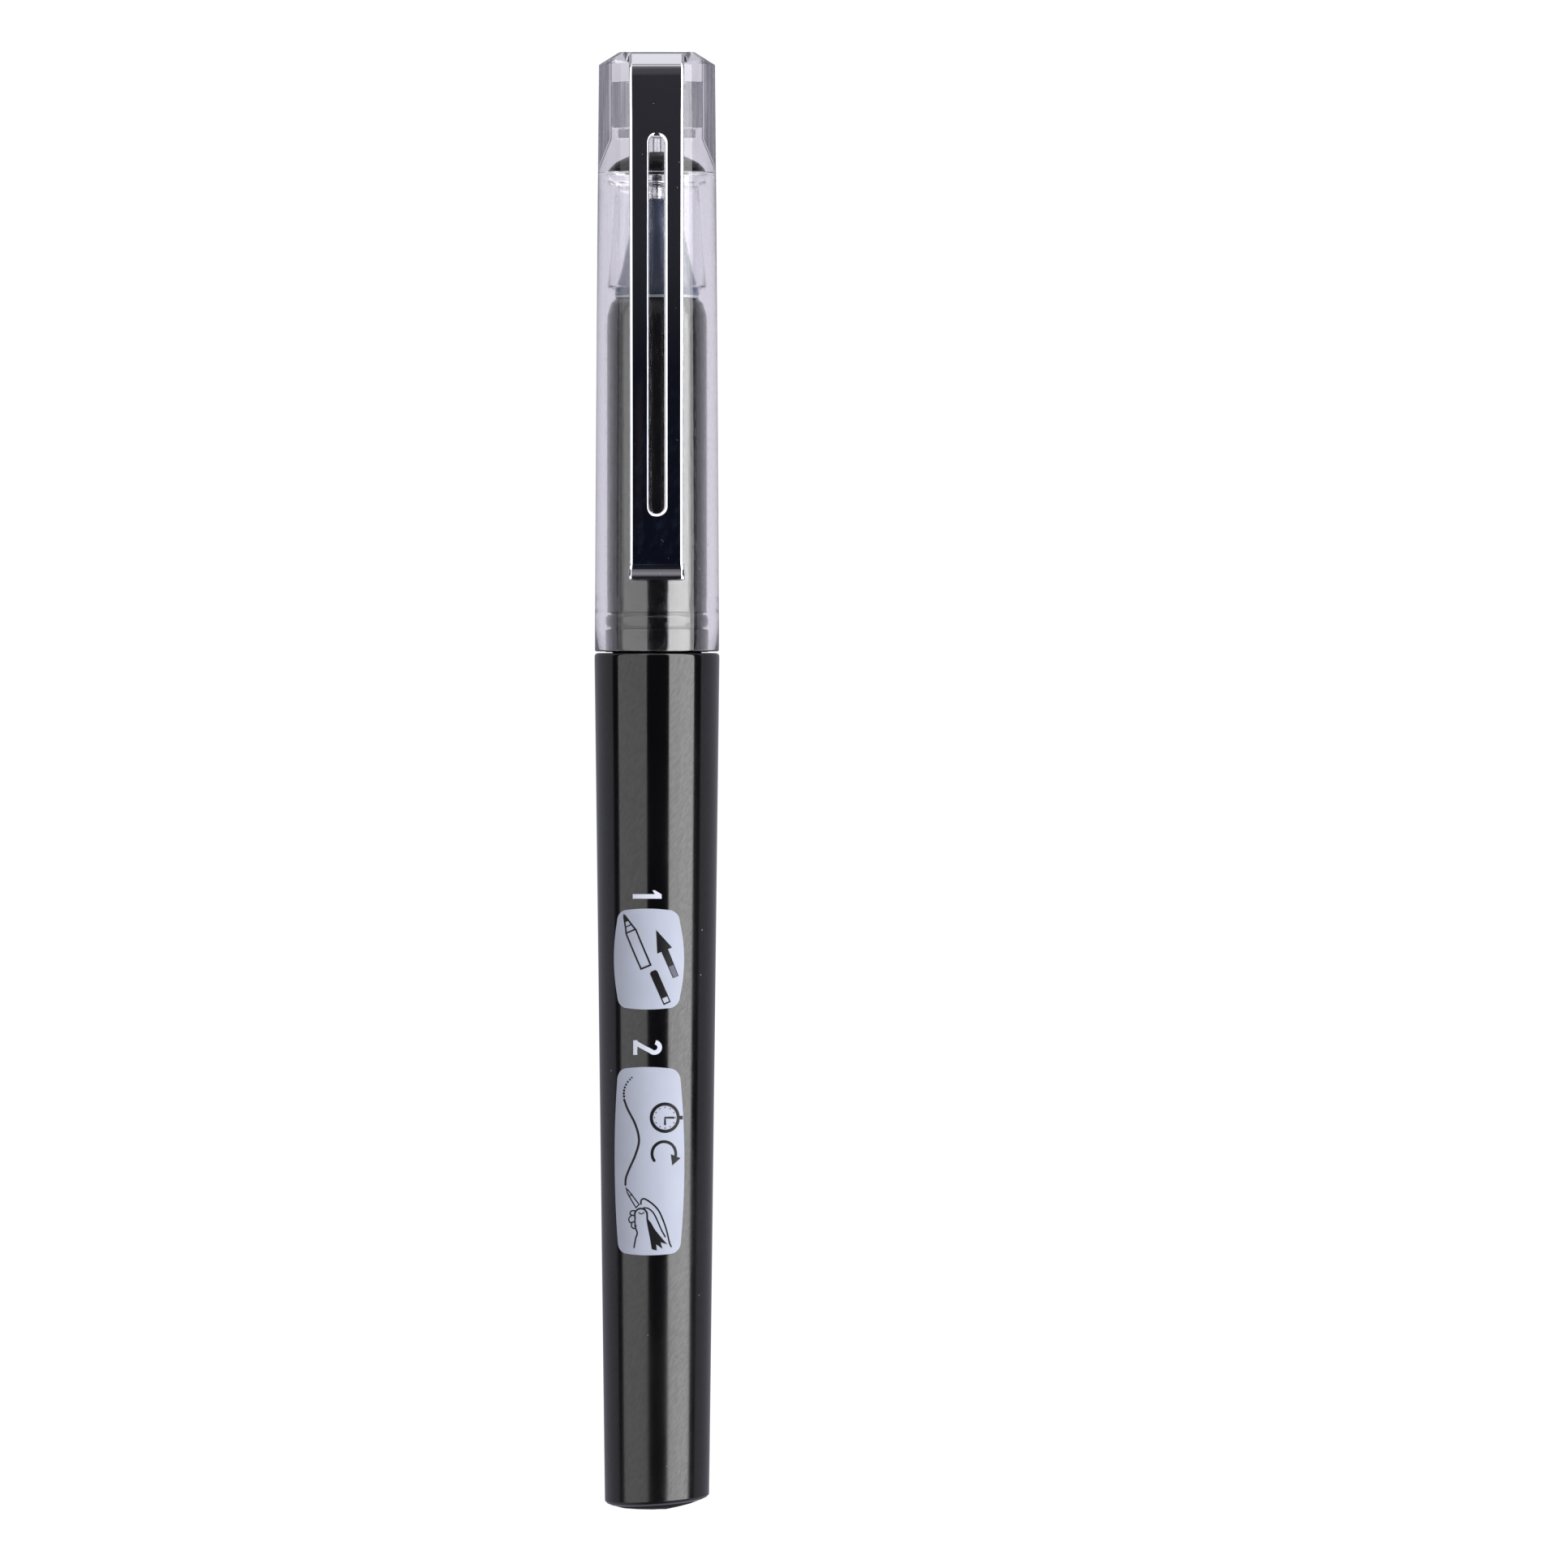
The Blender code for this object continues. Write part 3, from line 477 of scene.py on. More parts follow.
def rounded(points, steps=5):
    """A profile of (r, y) or (r, y, fillet) corners, with the fillets turned into arcs."""
    n = len(points)
    out = []
    for i, p in enumerate(points):
        f = p[2] if len(p) > 2 else 0.0
        if f <= 0.0 or i in (0, n - 1) and not points[0][0] == points[-1][0] and False:
            out.append((p[0], p[1]))
            continue
        a, b, c = Vector(points[i - 1][:2]), Vector(p[:2]), Vector(points[(i + 1) % n][:2])
        u, v = (a - b), (c - b)
        lu, lv = u.length, v.length
        if lu < 1e-9 or lv < 1e-9:
            out.append((p[0], p[1]))
            continue
        u.normalize()
        v.normalize()
        ang = u.angle(v)
        if ang > math.radians(176):
            out.append((p[0], p[1]))
            continue
        cut = min(f / math.tan(ang / 2.0), lu * 0.49, lv * 0.49)
        rad = cut * math.tan(ang / 2.0)
        centre = b + (u + v).normalized() * (rad / math.sin(ang / 2.0))
        s, e = b + u * cut - centre, b + v * cut - centre
        total = s.angle(e)
        turn = 1.0 if s.x * e.y - s.y * e.x > 0 else -1.0
        for k in range(steps + 1):
            t = turn * total * k / steps
            q = Vector((s.x * math.cos(t) - s.y * math.sin(t), s.x * math.sin(t) + s.y * math.cos(t))) + centre
            out.append((max(q.x, 0.0), q.y))
    return out


def lathe_data(profile, segs, closed=True, z=None, wobble=None):
    """Vertices and faces of a turned solid; on-axis points become single poles."""
    z = ZC if z is None else z
    verts, rings = [], []
    for r, y in profile:
        if r < 1e-6:
            rings.append([len(verts)])
            verts.append((0.0, y * MM, z * MM))
        else:
            ring = []
            for k in range(segs):
                a = math.tau * k / segs
                rr, yy = (r, y) if wobble is None else wobble(r, y, a)
                ring.append(len(verts))
                verts.append((rr * math.cos(a) * MM, yy * MM, (z + rr * math.sin(a)) * MM))
            rings.append(ring)
    faces = []
    pairs = list(zip(rings, rings[1:]))
    if closed:
        pairs.append((rings[-1], rings[0]))
    for a, b in pairs:
        if len(a) == 1 and len(b) == 1:
            continue
        for k in range(segs):
            j = (k + 1) % segs
            if len(a) == 1:
                faces.append((a[0], b[j], b[k]))
            elif len(b) == 1:
                faces.append((a[k], a[j], b[0]))
            else:
                faces.append((a[k], a[j], b[j], b[k]))
    return verts, faces


def lathe(name, profile, mat, body, replaces=None, segs=144, closed=True, sharp=32.0, z=None, steps=5, wobble=None):
    verts, faces = lathe_data(rounded(profile, steps), segs, closed, z, wobble)
    return add_mesh(name, verts, faces, mat, body, replaces, sharp)


def boolean(ob, cutter, operation="DIFFERENCE"):
    """Cut now, and keep only the result."""
    mod = ob.modifiers.new("cut", "BOOLEAN")
    mod.object = cutter
    mod.operation = operation
    mod.solver = "EXACT"
    bpy.context.view_layer.update()
    deps = bpy.context.evaluated_depsgraph_get()
    me = bpy.data.meshes.new_from_object(ob.evaluated_get(deps))
    ob.modifiers.clear()
    old = ob.data
    ob.data = me
    bpy.data.meshes.remove(old)
    bpy.data.objects.remove(cutter, do_unlink=True)


def raw_object(name, verts, faces):
    me = bpy.data.meshes.new(name)
    me.from_pydata([tuple(v) for v in verts], [], faces)
    bm = bmesh.new()
    bm.from_mesh(me)
    bmesh.ops.recalc_face_normals(bm, faces=bm.faces)
    bm.to_mesh(me)
    bm.free()
    ob = bpy.data.objects.new(name, me)
    COL.objects.link(ob)
    return ob


def rounded_box(name, lo, hi, radius, segments=3):
    """A box in world millimetres with rounded edges, for a cutter or a small block."""
    bm = bmesh.new()
    bmesh.ops.create_cube(bm, size=1.0)
    size = [(b - a) * MM for a, b in zip(lo, hi)]
    mid = [(a + b) / 2.0 * MM for a, b in zip(lo, hi)]
    bmesh.ops.transform(bm, matrix=Matrix.Translation(Vector(mid)) @ Matrix.Diagonal((*size, 1.0)), verts=bm.verts)
    if radius:
        bmesh.ops.bevel(bm, geom=list(bm.edges), offset=radius * MM, segments=segments, profile=0.5, affect="EDGES")
    me = bpy.data.meshes.new(name)
    bm.to_mesh(me)
    bm.free()
    ob = bpy.data.objects.new(name, me)
    COL.objects.link(ob)
    return ob


def taper(r0, y0, r1, y1):
    return lambda y: r0 + (r1 - r0) * (y - y0) / (y1 - y0)


# ------------------------------------------------------------------ cap shell
R_RIM = CAP.r
R_TOP = R_RIM - 0.38
cap_out = taper(R_RIM, CAP.y0, R_TOP, CAP.y1 - 1.33)
bore_rim, bore_top = R_RIM - 0.82, R_RIM - 0.97
cap_bore = taper(bore_rim, CAP.y0, bore_top, SEAL.y0)
bead = CAP.y0 + 4.14
cav_top = CAP.y1 - 2.8
neck = KEEP.y0 - 1.15
cap_profile = [
    (0.0, CAP.y1),
    (3.55, CAP.y1, 0.10),
    (R_TOP, CAP.y1 - 1.18, 0.12),
]
for k in range(1, 24):
    y = CAP.y1 - 1.33 + (CAP.y0 + 1.33 - CAP.y1) * k / 24.0
    cap_profile.append((cap_out(y) + 0.035 * math.sin(math.pi * k / 24.0), y))
cap_profile += [
    (R_RIM - 0.01, CAP.y0 - 0.20, 0.14),
    (bore_rim + 0.05, CAP.y0 - 0.20, 0.10),
    (cap_bore(bead - 0.75), bead - 0.75, 0.3),
    (cap_bore(bead) - 0.10, bead, 0.30),
    (cap_bore(bead + 0.75), bead + 0.75, 0.3),
    (cap_bore(36.0), 36.0),
    (bore_top, SEAL.y0 + 0.18, 0.12),
    (0.30, SEAL.y0 + 0.20, 0.05),
    (0.30, neck, 0.05),
    (2.52, neck, 0.08),
    (2.52, neck + 0.85, 0.05),
    (2.97, neck + 0.98, 0.08),
    (2.97, cav_top, 0.06),
    (0.0, cav_top),
]
cap = lathe("cap_shell_fine", cap_profile, M_CAP, "cap", "cap_shell", segs=160, closed=False, sharp=28, steps=5)
boolean(cap, rounded_box("recess", (-2.9, CAP.y1 - 1.05, ZC + 1.20), (2.9, CAP.y1 + 2.0, ZC + 9.0), 0.12))
boolean(cap, rounded_box("tang_slot", (-1.65, cav_top - 1.0, ZC + 1.36), (1.65, CAP.y1 - 0.3, ZC + 2.66), 0.0))
cap.data.shade_smooth()
cap.data.set_sharp_from_angle(angle=math.radians(28))

# ------------------------------------------------------------------ inner cap
flange_y = INNER.y1
lathe(
    "inner_cap_fine",
    [
        (INNER.r - 0.10, flange_y, 0.10),
        (INNER.r - 0.02, flange_y - 0.65, 0.12),
        (INNER.r - 0.70, flange_y - 0.85, 0.15),
        (INNER.r - 0.62, flange_y - 2.6, 0.4),
        (INNER.r - 0.30, INNER.y0 + 3.2, 1.5),
        (INNER.r - 0.02, INNER.y0 + 0.2, 0.10),
        (INNER.r - 0.06, INNER.y0, 0.05),
        (INNER.r - 0.42, INNER.y0, 0.06),
        (INNER.r - 0.70, INNER.y0 + 3.2, 1.5),
        (INNER.r - 1.02, flange_y - 2.6, 0.4),
        (INNER.r - 1.10, flange_y - 0.95, 0.3),
        (1.52, flange_y - 0.70, 0.08),
        (1.52, flange_y, 0.08),
    ],
    M_INNER,
    "cap",
    "inner_cap",
    segs=144,
)

# ------------------------------------------------------------------- tip seal
lathe(
    "tip_seal_fine",
    [
        (0.0, SEAL.y1 - 0.28),
        (0.80, SEAL.y1 - 0.34, 0.8),
        (1.75, SEAL.y1 - 0.74, 1.2),
        (2.50, SEAL.y1 - 1.26, 1.0),
        (2.86, SEAL.y1 - 1.78, 0.4),
        (SEAL.r, SEAL.y1 - 2.12, 0.1),
        (SEAL.r, SEAL.y0, 0.10),
        (0.62, SEAL.y0, 0.05),
        (0.46, SEAL.y0 + 0.42, 0.10),
        (0.0, SEAL.y0 + 0.42),
    ],
    M_SEAL,
    "cap",
    "tip_seal",
    segs=96,
    closed=False,
)

# -------------------------------------------------------------- clip retainer
keep = lathe(
    "clip_retainer_fine",
    [
        (KEEP.r - 0.40, KEEP.y1, 0.15),
        (KEEP.r - 0.16, KEEP.y1 - 0.30, 0.10),
        (KEEP.r - 0.16, KEEP.y0 + 0.25, 0.10),
        (KEEP.r - 0.35, KEEP.y0, 0.08),
        (1.25, KEEP.y0, 0.08),
        (1.25, KEEP.y1, 0.08),
    ],
    M_KEEP,
    "cap",
    "clip_retainer",
    segs=96,
)
boolean(keep, rounded_box("keep_flat", (-4.0, KEEP.y0 - 2, ZC + 1.42), (4.0, KEEP.y1 + 2, ZC + 4.0), 0.0))
keep.data.shade_smooth()
keep.data.set_sharp_from_angle(angle=math.radians(30))

# ----------------------------------------------------------------------- clip


def clip_path():
    """The clip's middle line, from the plate's root over the fold to the lip, in (y, z)."""
    t = 0.5
    top = CLIP.y1 - t / 2.0
    zt = CLIP.hi[2] - 0.13 - t / 2.0
    pts = [(top, CLIP.lo[2] + 0.02)]
    fold = []
    # a round-cornered facet: plate, then a leaning facet, then the arm
    corner = [
        Vector((top, zt - 3.0)),
        Vector((top, zt - 1.12)),
        Vector((top - 1.02, zt - 0.30)),
        Vector((top - 2.0, zt - 0.07)),
    ]
    for i in (1, 2):
        a, b, c = corner[i - 1], corner[i], corner[i + 1]
        u, v = (a - b).normalized(), (c - b).normalized()
        ang = u.angle(v)
        rad = 0.30 if i == 1 else 0.42
        cut = min(rad / math.tan(ang / 2.0), (a - b).length * 0.45, (c - b).length * 0.45)
        rad = cut * math.tan(ang / 2.0)
        centre = b + (u + v).normalized() * (rad / math.sin(ang / 2.0))
        s, e = b + u * cut - centre, b + v * cut - centre
        total = s.angle(e)
        turn = 1.0 if s.x * e.y - s.y * e.x > 0 else -1.0
        for k in range(9):
            q = turn * total * k / 8
            fold.append(
                (
                    s.x * math.cos(q) - s.y * math.sin(q) + centre.x,
                    s.x * math.sin(q) + s.y * math.cos(q) + centre.y,
                )
            )
    pts += fold
    # the arm: settles from a slight lean to straight, then runs down to the crease
    y_start = fold[-1][0]
    z_low = CLIP.hi[2] - t / 2.0 - 0.42
    crease = CLIP.y0 + 1.32
    for k in range(1, 60):
        f = (k / 60.0) ** 1.7
        y = y_start + (crease + 0.3 - y_start) * f
        base = zt + (z_low - zt) * f
        sag = -0.24 * math.exp(-(y_start - y) / 1.05)
        pts.append((y, base + sag))
    # crease, then a rolled lip that flares up
    lip = [
        (crease + 0.20, z_low + 0.015),
        (crease + 0.10, z_low + 0.055),
        (crease + 0.00, z_low + 0.070),
        (crease - 0.10, z_low + 0.050),
        (crease - 0.20, z_low + 0.015),
        (crease - 0.32, z_low + 0.020),
        (crease - 0.44, z_low + 0.060),
        (crease - 0.62, z_low + 0.140),
        (crease - 0.80, z_low + 0.225),
        (crease - 0.96, z_low + 0.300),
        (crease - 1.06, z_low + 0.325),
        (crease - 1.16, z_low + 0.300),
        (CLIP.y0 + 0.02, z_low + 0.200),
    ]
    return pts + lip


LEFT_RIM = 0.5          # the slot's left rim is coined about half as wide as its right one


def clip_piece():
    t = 0.5
    path = clip_path()
    seg = [0.0]
    for a, b in zip(path, path[1:]):
        seg.append(seg[-1] + math.hypot(b[0] - a[0], b[1] - a[1]))
    length = seg[-1]

    def at(s):
        s = min(max(s, 0.0), length)
        i = min(int(np.searchsorted(seg, s, side="right")) - 1, len(path) - 2)
        i = max(i, 0)
        f = (s - seg[i]) / (seg[i + 1] - seg[i])
        return path[i][0] + (path[i + 1][0] - path[i][0]) * f, path[i][1] + (path[i + 1][1] - path[i][1]) * f

    def normal(s):
        a, b = at(s - 0.06), at(s + 0.06)
        ty, tz = b[0] - a[0], b[1] - a[1]
        n = math.hypot(ty, tz)
        return tz / n, -ty / n      # outward side: +Y on the plate, +Z on the arm

    def s_of_y(y):
        """Length along the arm at which the clip passes station y."""
        best = None
        for i in range(len(path) - 1, 0, -1):
            y0, y1 = path[i - 1][0], path[i][0]
            if min(y0, y1) <= y <= max(y0, y1):
                f = (y - y0) / (y1 - y0) if y1 != y0 else 0.0
                best = seg[i - 1] + (seg[i] - seg[i - 1]) * f
                break
        return best

    half = CLIP.r - 0.0
    lip_s = s_of_y(CLIP.y0 + 1.30)
    waist = 0.10                     # the arm is a little narrower than the lip
    outer = []
    right = [
        (half - 0.02, 0.0),
        (half - 0.02, s_of_y(CLIP.y1 - 2.2)),
        (half - 0.05, s_of_y(CLIP.y1 - 6.0)),
        (half - waist, s_of_y(CLIP.y0 + 14.0)),
        (half - waist, lip_s - 0.25),
        (half - 0.03, lip_s + 0.22),
        (half, lip_s + 0.5),
        (half, length - 0.18),
        (half - 0.16, length),
    ]
    outer = [(x, s) for x, s in right] + [(-x, s) for x, s in reversed(right)]
    slot_w = 1.03
    s0 = s_of_y(CLIP.y1 - 7.52) + slot_w     # centre of the slot's upper end
    s1 = s_of_y(CLIP.y0 + 5.92) - slot_w
    hole = []
    for centre, sign in ((s0, -1.0), (s1, 1.0)):
        for k in range(25):
            a = math.pi * k / 24.0
            hole.append((slot_w * math.cos(a) * -sign, centre + sign * slot_w * math.sin(a)))

    # layers of the edge rounding, from the inner face to the outer one: (inset, height)
    r_in = 0.10
    layers = []
    for k in range(4):
        a = math.pi / 2 * k / 3
        layers.append((r_in * (1 - math.sin(a)), -t / 2 + r_in * (1 - math.cos(a))))
    # a coined bevel on the outer face, with both of its corners eased
    layers += [(0.0, t / 2 - 0.21), (0.012, t / 2 - 0.165), (0.045, t / 2 - 0.130), (0.21, t / 2 - 0.030), (0.25, t / 2 - 0.006), (0.29, t / 2)]
    hole_layers = []
    lead_in, lead_out = 0.06, 0.34
    for k in range(3):
        a = math.pi / 2 * k / 2
        hole_layers.append((lead_in * (1 - math.sin(a)) - lead_out * 0.0 + 0.0, -t / 2 + lead_in * (1 - math.cos(a))))
    # the slot's rim is coined: a broad sloping lead-in on the outer face
    rim = [(0.0, t / 2 - 0.24), (0.03, t / 2 - 0.185), (0.06, t / 2 - 0.150), (0.25, t / 2 - 0.035), (0.29, t / 2 - 0.006), (lead_out, t / 2)]
    hole_layers += rim

    def offset_loop(loop, inset, inward):
        """Move a closed loop along its own normals; inward shrinks the metal's outer edge."""
        n = len(loop)
        res = []
        for i in range(n):
            ax, ay = loop[i - 1]
            bx, by = loop[i]
            cx, cy = loop[(i + 1) % n]
            e1 = Vector((bx - ax, by - ay))
            e2 = Vector((cx - bx, cy - by))
            if e1.length < 1e-9:
                e1 = e2
            if e2.length < 1e-9:
                e2 = e1
            e1.normalize()
            e2.normalize()
            n1, n2 = Vector((-e1.y, e1.x)), Vector((-e2.y, e2.x))
            m = (n1 + n2)
            m = m / max(m.length_squared / 2.0, 0.3) if m.length > 1e-6 else n1
            res.append((bx + m.x * inset * inward, by + m.y * inset * inward))
        return res

    def outline(loop, inset):
        """The strip's outline drawn in by inset, kept square to the strip."""
        return [((abs(x) - inset) * (1 if x > 0 else -1), min(q, length - inset)) for x, q in loop]

    def area(loop):
        return 0.5 * sum(loop[i - 1][0] * loop[i][1] - loop[i][0] * loop[i - 1][1] for i in range(len(loop)))

    # subdivide the long straight runs, so that the strip can bend
    def refine(loop, step=0.35):
        res = []
        for i in range(len(loop)):
            a, b = loop[i], loop[(i + 1) % len(loop)]
            d = math.hypot(b[0] - a[0], b[1] - a[1])
            m = max(1, int(math.ceil(d / step)))
            for k in range(m):
                res.append((a[0] + (b[0] - a[0]) * k / m, a[1] + (b[1] - a[1]) * k / m))
        return res

    outer = refine(outer)
    knots = [q for q in seg[1:-1]]

    def knotted(loop):
        """Put a vertex wherever a loop crosses one of the path's bends."""
        res = []
        for i in range(len(loop)):
            a, b = loop[i], loop[(i + 1) % len(loop)]
            res.append(a)
            lo_s, hi_s = min(a[1], b[1]), max(a[1], b[1])
            inside = [q for q in knots if lo_s + 0.012 < q < hi_s - 0.012]
            if b[1] < a[1]:
                inside.reverse()
            for q in inside:
                f = (q - a[1]) / (b[1] - a[1])
                res.append((a[0] + (b[0] - a[0]) * f, q))
        return res

    outer = knotted(outer)
    hole_r = hole
    o_sign = 1.0 if area(outer) > 0 else -1.0       # left normal points into the metal for a ccw loop
    h_sign = -1.0 if area(hole_r) > 0 else 1.0      # for the hole, metal is outside
    slot_inner = []
    verts, faces = [], []

    def put(x, s, h):
        y, z = at(s)
        ny, nz = normal(s)
        verts.append((x * MM, (y + ny * h) * MM, (z + nz * h) * MM))
        return len(verts) - 1

    def wall(loop, layers_, sign, left=1.0):
        rings = []
        for inset, h in layers_:
            moved = outline(loop, inset) if loop is outer else offset_loop(loop, inset, sign)
            ring = []
            for (x0, _), (x, s) in zip(loop, moved):
                if x0 < 0 and left != 1.0:
                    x = x0 + (x - x0) * left
                ring.append(put(x, s, h))
            rings.append(ring)
        for a, b in zip(rings, rings[1:]):
            n = len(a)
            for i in range(n):
                j = (i + 1) % n
                faces.append((a[i], a[j], b[j], b[i]))
        return rings[0], rings[-1]

    # the hole's loop is given at its narrowest, so its wall insets away from the slot
    narrow = []
    nw = 0.70
    for centre, sign in ((s0 - slot_w + nw + 0.30, -1.0), (s1 + slot_w - nw - 0.30, 1.0)):
        for k in range(25):
            a = math.pi * k / 24.0
            narrow.append((nw * math.cos(a) * -sign, centre + sign * nw * math.sin(a)))
    narrow = refine(narrow, 0.5)
    h_sign = -1.0 if area(narrow) > 0 else 1.0
    o_low, o_high = wall(outer, layers, o_sign)
    h_low, h_high = wall(narrow, hole_layers, h_sign, LEFT_RIM)
    bm = bmesh.new()
    bv = [bm.verts.new(v) for v in verts]
    for f in faces:
        try:
            bm.faces.new([bv[i] for i in f])
        except ValueError:
            pass

    # faces of the strip: fill in flat (x, s) space, then lift onto the path
    def cap_face(outer_ids, hole_ids, outer_loop, hole_loop, h):
        flat = bmesh.new()
        fo = [flat.verts.new((x, s, 0.0)) for x, s in outer_loop]
        fh = [flat.verts.new((x, s, 0.0)) for x, s in hole_loop]
        edges = []
        for ring in (fo, fh):
            for i in range(len(ring)):
                edges.append(flat.edges.new((ring[i], ring[(i + 1) % len(ring)])))
        bmesh.ops.triangle_fill(flat, use_beauty=True, use_dissolve=False, edges=edges)
        known = {v: bv[i] for v, i in zip(fo + fh, list(outer_ids) + list(hole_ids))}
        for q in knots:
            bmesh.ops.bisect_plane(
                flat,
                geom=list(flat.verts) + list(flat.edges) + list(flat.faces),
                plane_co=(0, q, 0),
                plane_no=(0, 1, 0),
                dist=0.013,
            )
        for v in flat.verts:
            if v not in known:
                y, z = at(v.co.y)
                ny, nz = normal(v.co.y)
                known[v] = bm.verts.new((v.co.x * MM, (y + ny * h) * MM, (z + nz * h) * MM))
        tri = [[known[v] for v in f.verts] for f in flat.faces]
        for f in tri:
            try:
                bm.faces.new(f)
            except ValueError:
                pass
        flat.free()

    def slot_loop(inset):
        moved = offset_loop(narrow, inset, h_sign)
        return [(x0 + (x - x0) * (LEFT_RIM if x0 < 0 else 1.0), q) for (x0, _), (x, q) in zip(narrow, moved)]

    cap_face(o_low, h_low, outline(outer, layers[0][0]), slot_loop(hole_layers[0][0]), -t / 2)
    cap_face(o_high, h_high, outline(outer, layers[-1][0]), slot_loop(hole_layers[-1][0]), t / 2)
    bmesh.ops.remove_doubles(bm, verts=bm.verts, dist=2e-7)
    bmesh.ops.recalc_face_normals(bm, faces=bm.faces)
    me = bpy.data.meshes.new("clip_fine")
    bm.to_mesh(me)
    bm.free()
    ob = bpy.data.objects.new("clip_fine", me)
    COL.objects.link(ob)
    return ob


clip = clip_piece()
tang = rounded_box("tang", (-1.3, KEEP.y0 + 0.12, CLIP.lo[2]), (1.3, CLIP.y1 - 0.25, CLIP.lo[2] + 0.5), 0.06, 2)
boolean(clip, tang, "UNION")
finish_piece(clip, M_CLIP, "clip", "clip", sharp=50)
wn = clip.modifiers.new("even_normals", "WEIGHTED_NORMAL")
wn.weight = 80
wn.keep_sharp = True

# ---------------------------------------------------------------- grip section
step_y = GRIP.y0 + 9.0
face_y = GRIP.y1
RG = GRIP.r - 0.17
lathe(
    "grip_section_fine",
    [
        (3.83, face_y, 0.12),
        (4.30, face_y - 0.48, 0.25),
        (RG - 0.04, face_y - 1.55, 0.8),
        (RG, face_y - 3.0),
        (RG, RING.y1 + 0.95),
        (RG + 0.02, RING.y1 + 0.27, 0.05),
        (4.32, RING.y1 + 0.13, 0.03),
        (4.32, RING.y0 - 0.12, 0.03),
        (GRIP.r - 0.01, RING.y0 - 0.28, 0.08),
        (GRIP.r - 0.01, step_y, 0.12),
        (4.17, step_y, 0.05),
        (4.17, step_y - 1.15, 0.05),
        (4.36, step_y - 1.35, 0.06),
        (4.36, GRIP.y0 + 0.25, 0.12),
        (4.10, GRIP.y0, 0.08),
        (3.95, GRIP.y0, 0.05),
        (3.92, GRIP.y0 + 8.2, 0.2),
        (2.64, GRIP.y0 + 8.7, 0.1),
        (2.64, COLL.y0 - 2.8, 0.1),
        (2.97, COLL.y0 - 2.4, 0.05),
        (3.55, COLL.y0 - 2.4, 0.05),
        (3.55, face_y, 0.05),
    ],
    M_GRIP,
    "section",
    "grip_section",
    segs=144,
)


def helix(name, radius, height, width, y0, y1, pitch, mat, body, inward=False, steps=40):
    """A thread: a small trapezium run along a helix, with its ends faded out."""
    turns = abs(y1 - y0) / pitch
    count = int(turns * steps)
    verts, faces = [], []
    for i in range(count + 1):
        f = i / count
        a = math.tau * turns * f
        y = y0 + (y1 - y0) * f
        fade = min(1.0, f * turns * 2.0, (1 - f) * turns * 2.0)
        h = max(height * fade, 0.01) * (-1.0 if inward else 1.0)
        base = radius + (0.02 if inward else -0.02)
        for dr, dy in ((0.0, -width / 2), (h, -width / 6), (h, width / 6), (0.0, width / 2)):
            r = (radius + dr) if dr else base
            verts.append((r * math.cos(a) * MM, (y + dy) * MM, (ZC + r * math.sin(a)) * MM))
    for i in range(count):
        a, b = i * 4, (i + 1) * 4
        for k in range(4):
            j = (k + 1) % 4
            faces.append((a + k, a + j, b + j, b + k))
    faces.append((0, 1, 2, 3))
    e = count * 4
    faces.append((e + 3, e + 2, e + 1, e))
    return add_mesh(name, verts, faces, mat, body, sharp=35)


helix("section_thread", 4.36, 0.16, 0.75, GRIP.y0 + 1.0, GRIP.y0 + 7.0, 1.25, M_GRIP, "section")
helix("barrel_thread", 4.63, 0.08, 0.70, BAR.y1 - 8.6, BAR.y1 - 2.4, 1.25, M_GRIP, "barrel", inward=True)

lathe(
    "snap_ring_fine",
    [
        (RING.r - 0.16, RING.y1, 0.06),
        (RING.r - 0.01, (RING.y0 + RING.y1) / 2 + 0.25, 0.3),
        (RING.r - 0.01, (RING.y0 + RING.y1) / 2 - 0.25, 0.3),
        (RING.r - 0.16, RING.y0, 0.06),
        (4.38, RING.y0, 0.03),
        (4.38, RING.y1, 0.03),
    ],
    M_GRIP,
    "section",
    "snap_ring",
    segs=144,
)

# ------------------------------------------------------------------- nose cone
nose_out = [
    (0.95, NOSE.y1, 0.06),
    (1.22, NOSE.y1 - 0.40, 0.3),
    (1.62, NOSE.y1 - 1.15, 0.8),
    (2.06, NOSE.y1 - 2.05, 1.2),
    (2.50, NOSE.y1 - 3.20, 2.0),
    (2.95, NOSE.y1 - 5.15, 4.0),
    (3.40, NOSE.y1 - 7.05, 4.0),
    (3.88, NOSE.y1 - 8.50, 1.5),
    (NOSE.r - 0.01, NOSE.y1 - 8.85, 0.2),
    (NOSE.r - 0.01, face_y + 0.27, 0.08),
    (3.42, face_y + 0.27, 0.03),
    (3.42, NOSE.y0, 0.08),
    (2.67, NOSE.y0, 0.05),
    (2.62, NOSE.y1 - 8.1, 0.4),
    (1.75, NOSE.y1 - 4.7, 1.5),
    (0.90, NOSE.y1 - 3.3, 0.4),
    (0.70, NOSE.y1 - 2.9, 0.2),
    (0.70, NOSE.y1, 0.04),
]
lathe("nose_cone_fine", nose_out, M_NOSE, "section", "nose_cone", segs=128)

# a thin light grey ring between the grip's face and the nose: a painted highlight line, not a part of the pen
lathe(
    "nose_highlight_ring",
    [
        (NOSE.r - 0.05, face_y + 0.255, 0.04),
        (NOSE.r - 0.05, face_y + 0.015, 0.04),
        (3.44, face_y + 0.015, 0.02),
        (3.44, face_y + 0.255, 0.02),
    ],
    M_ABS,
    "section",
    segs=96,
)

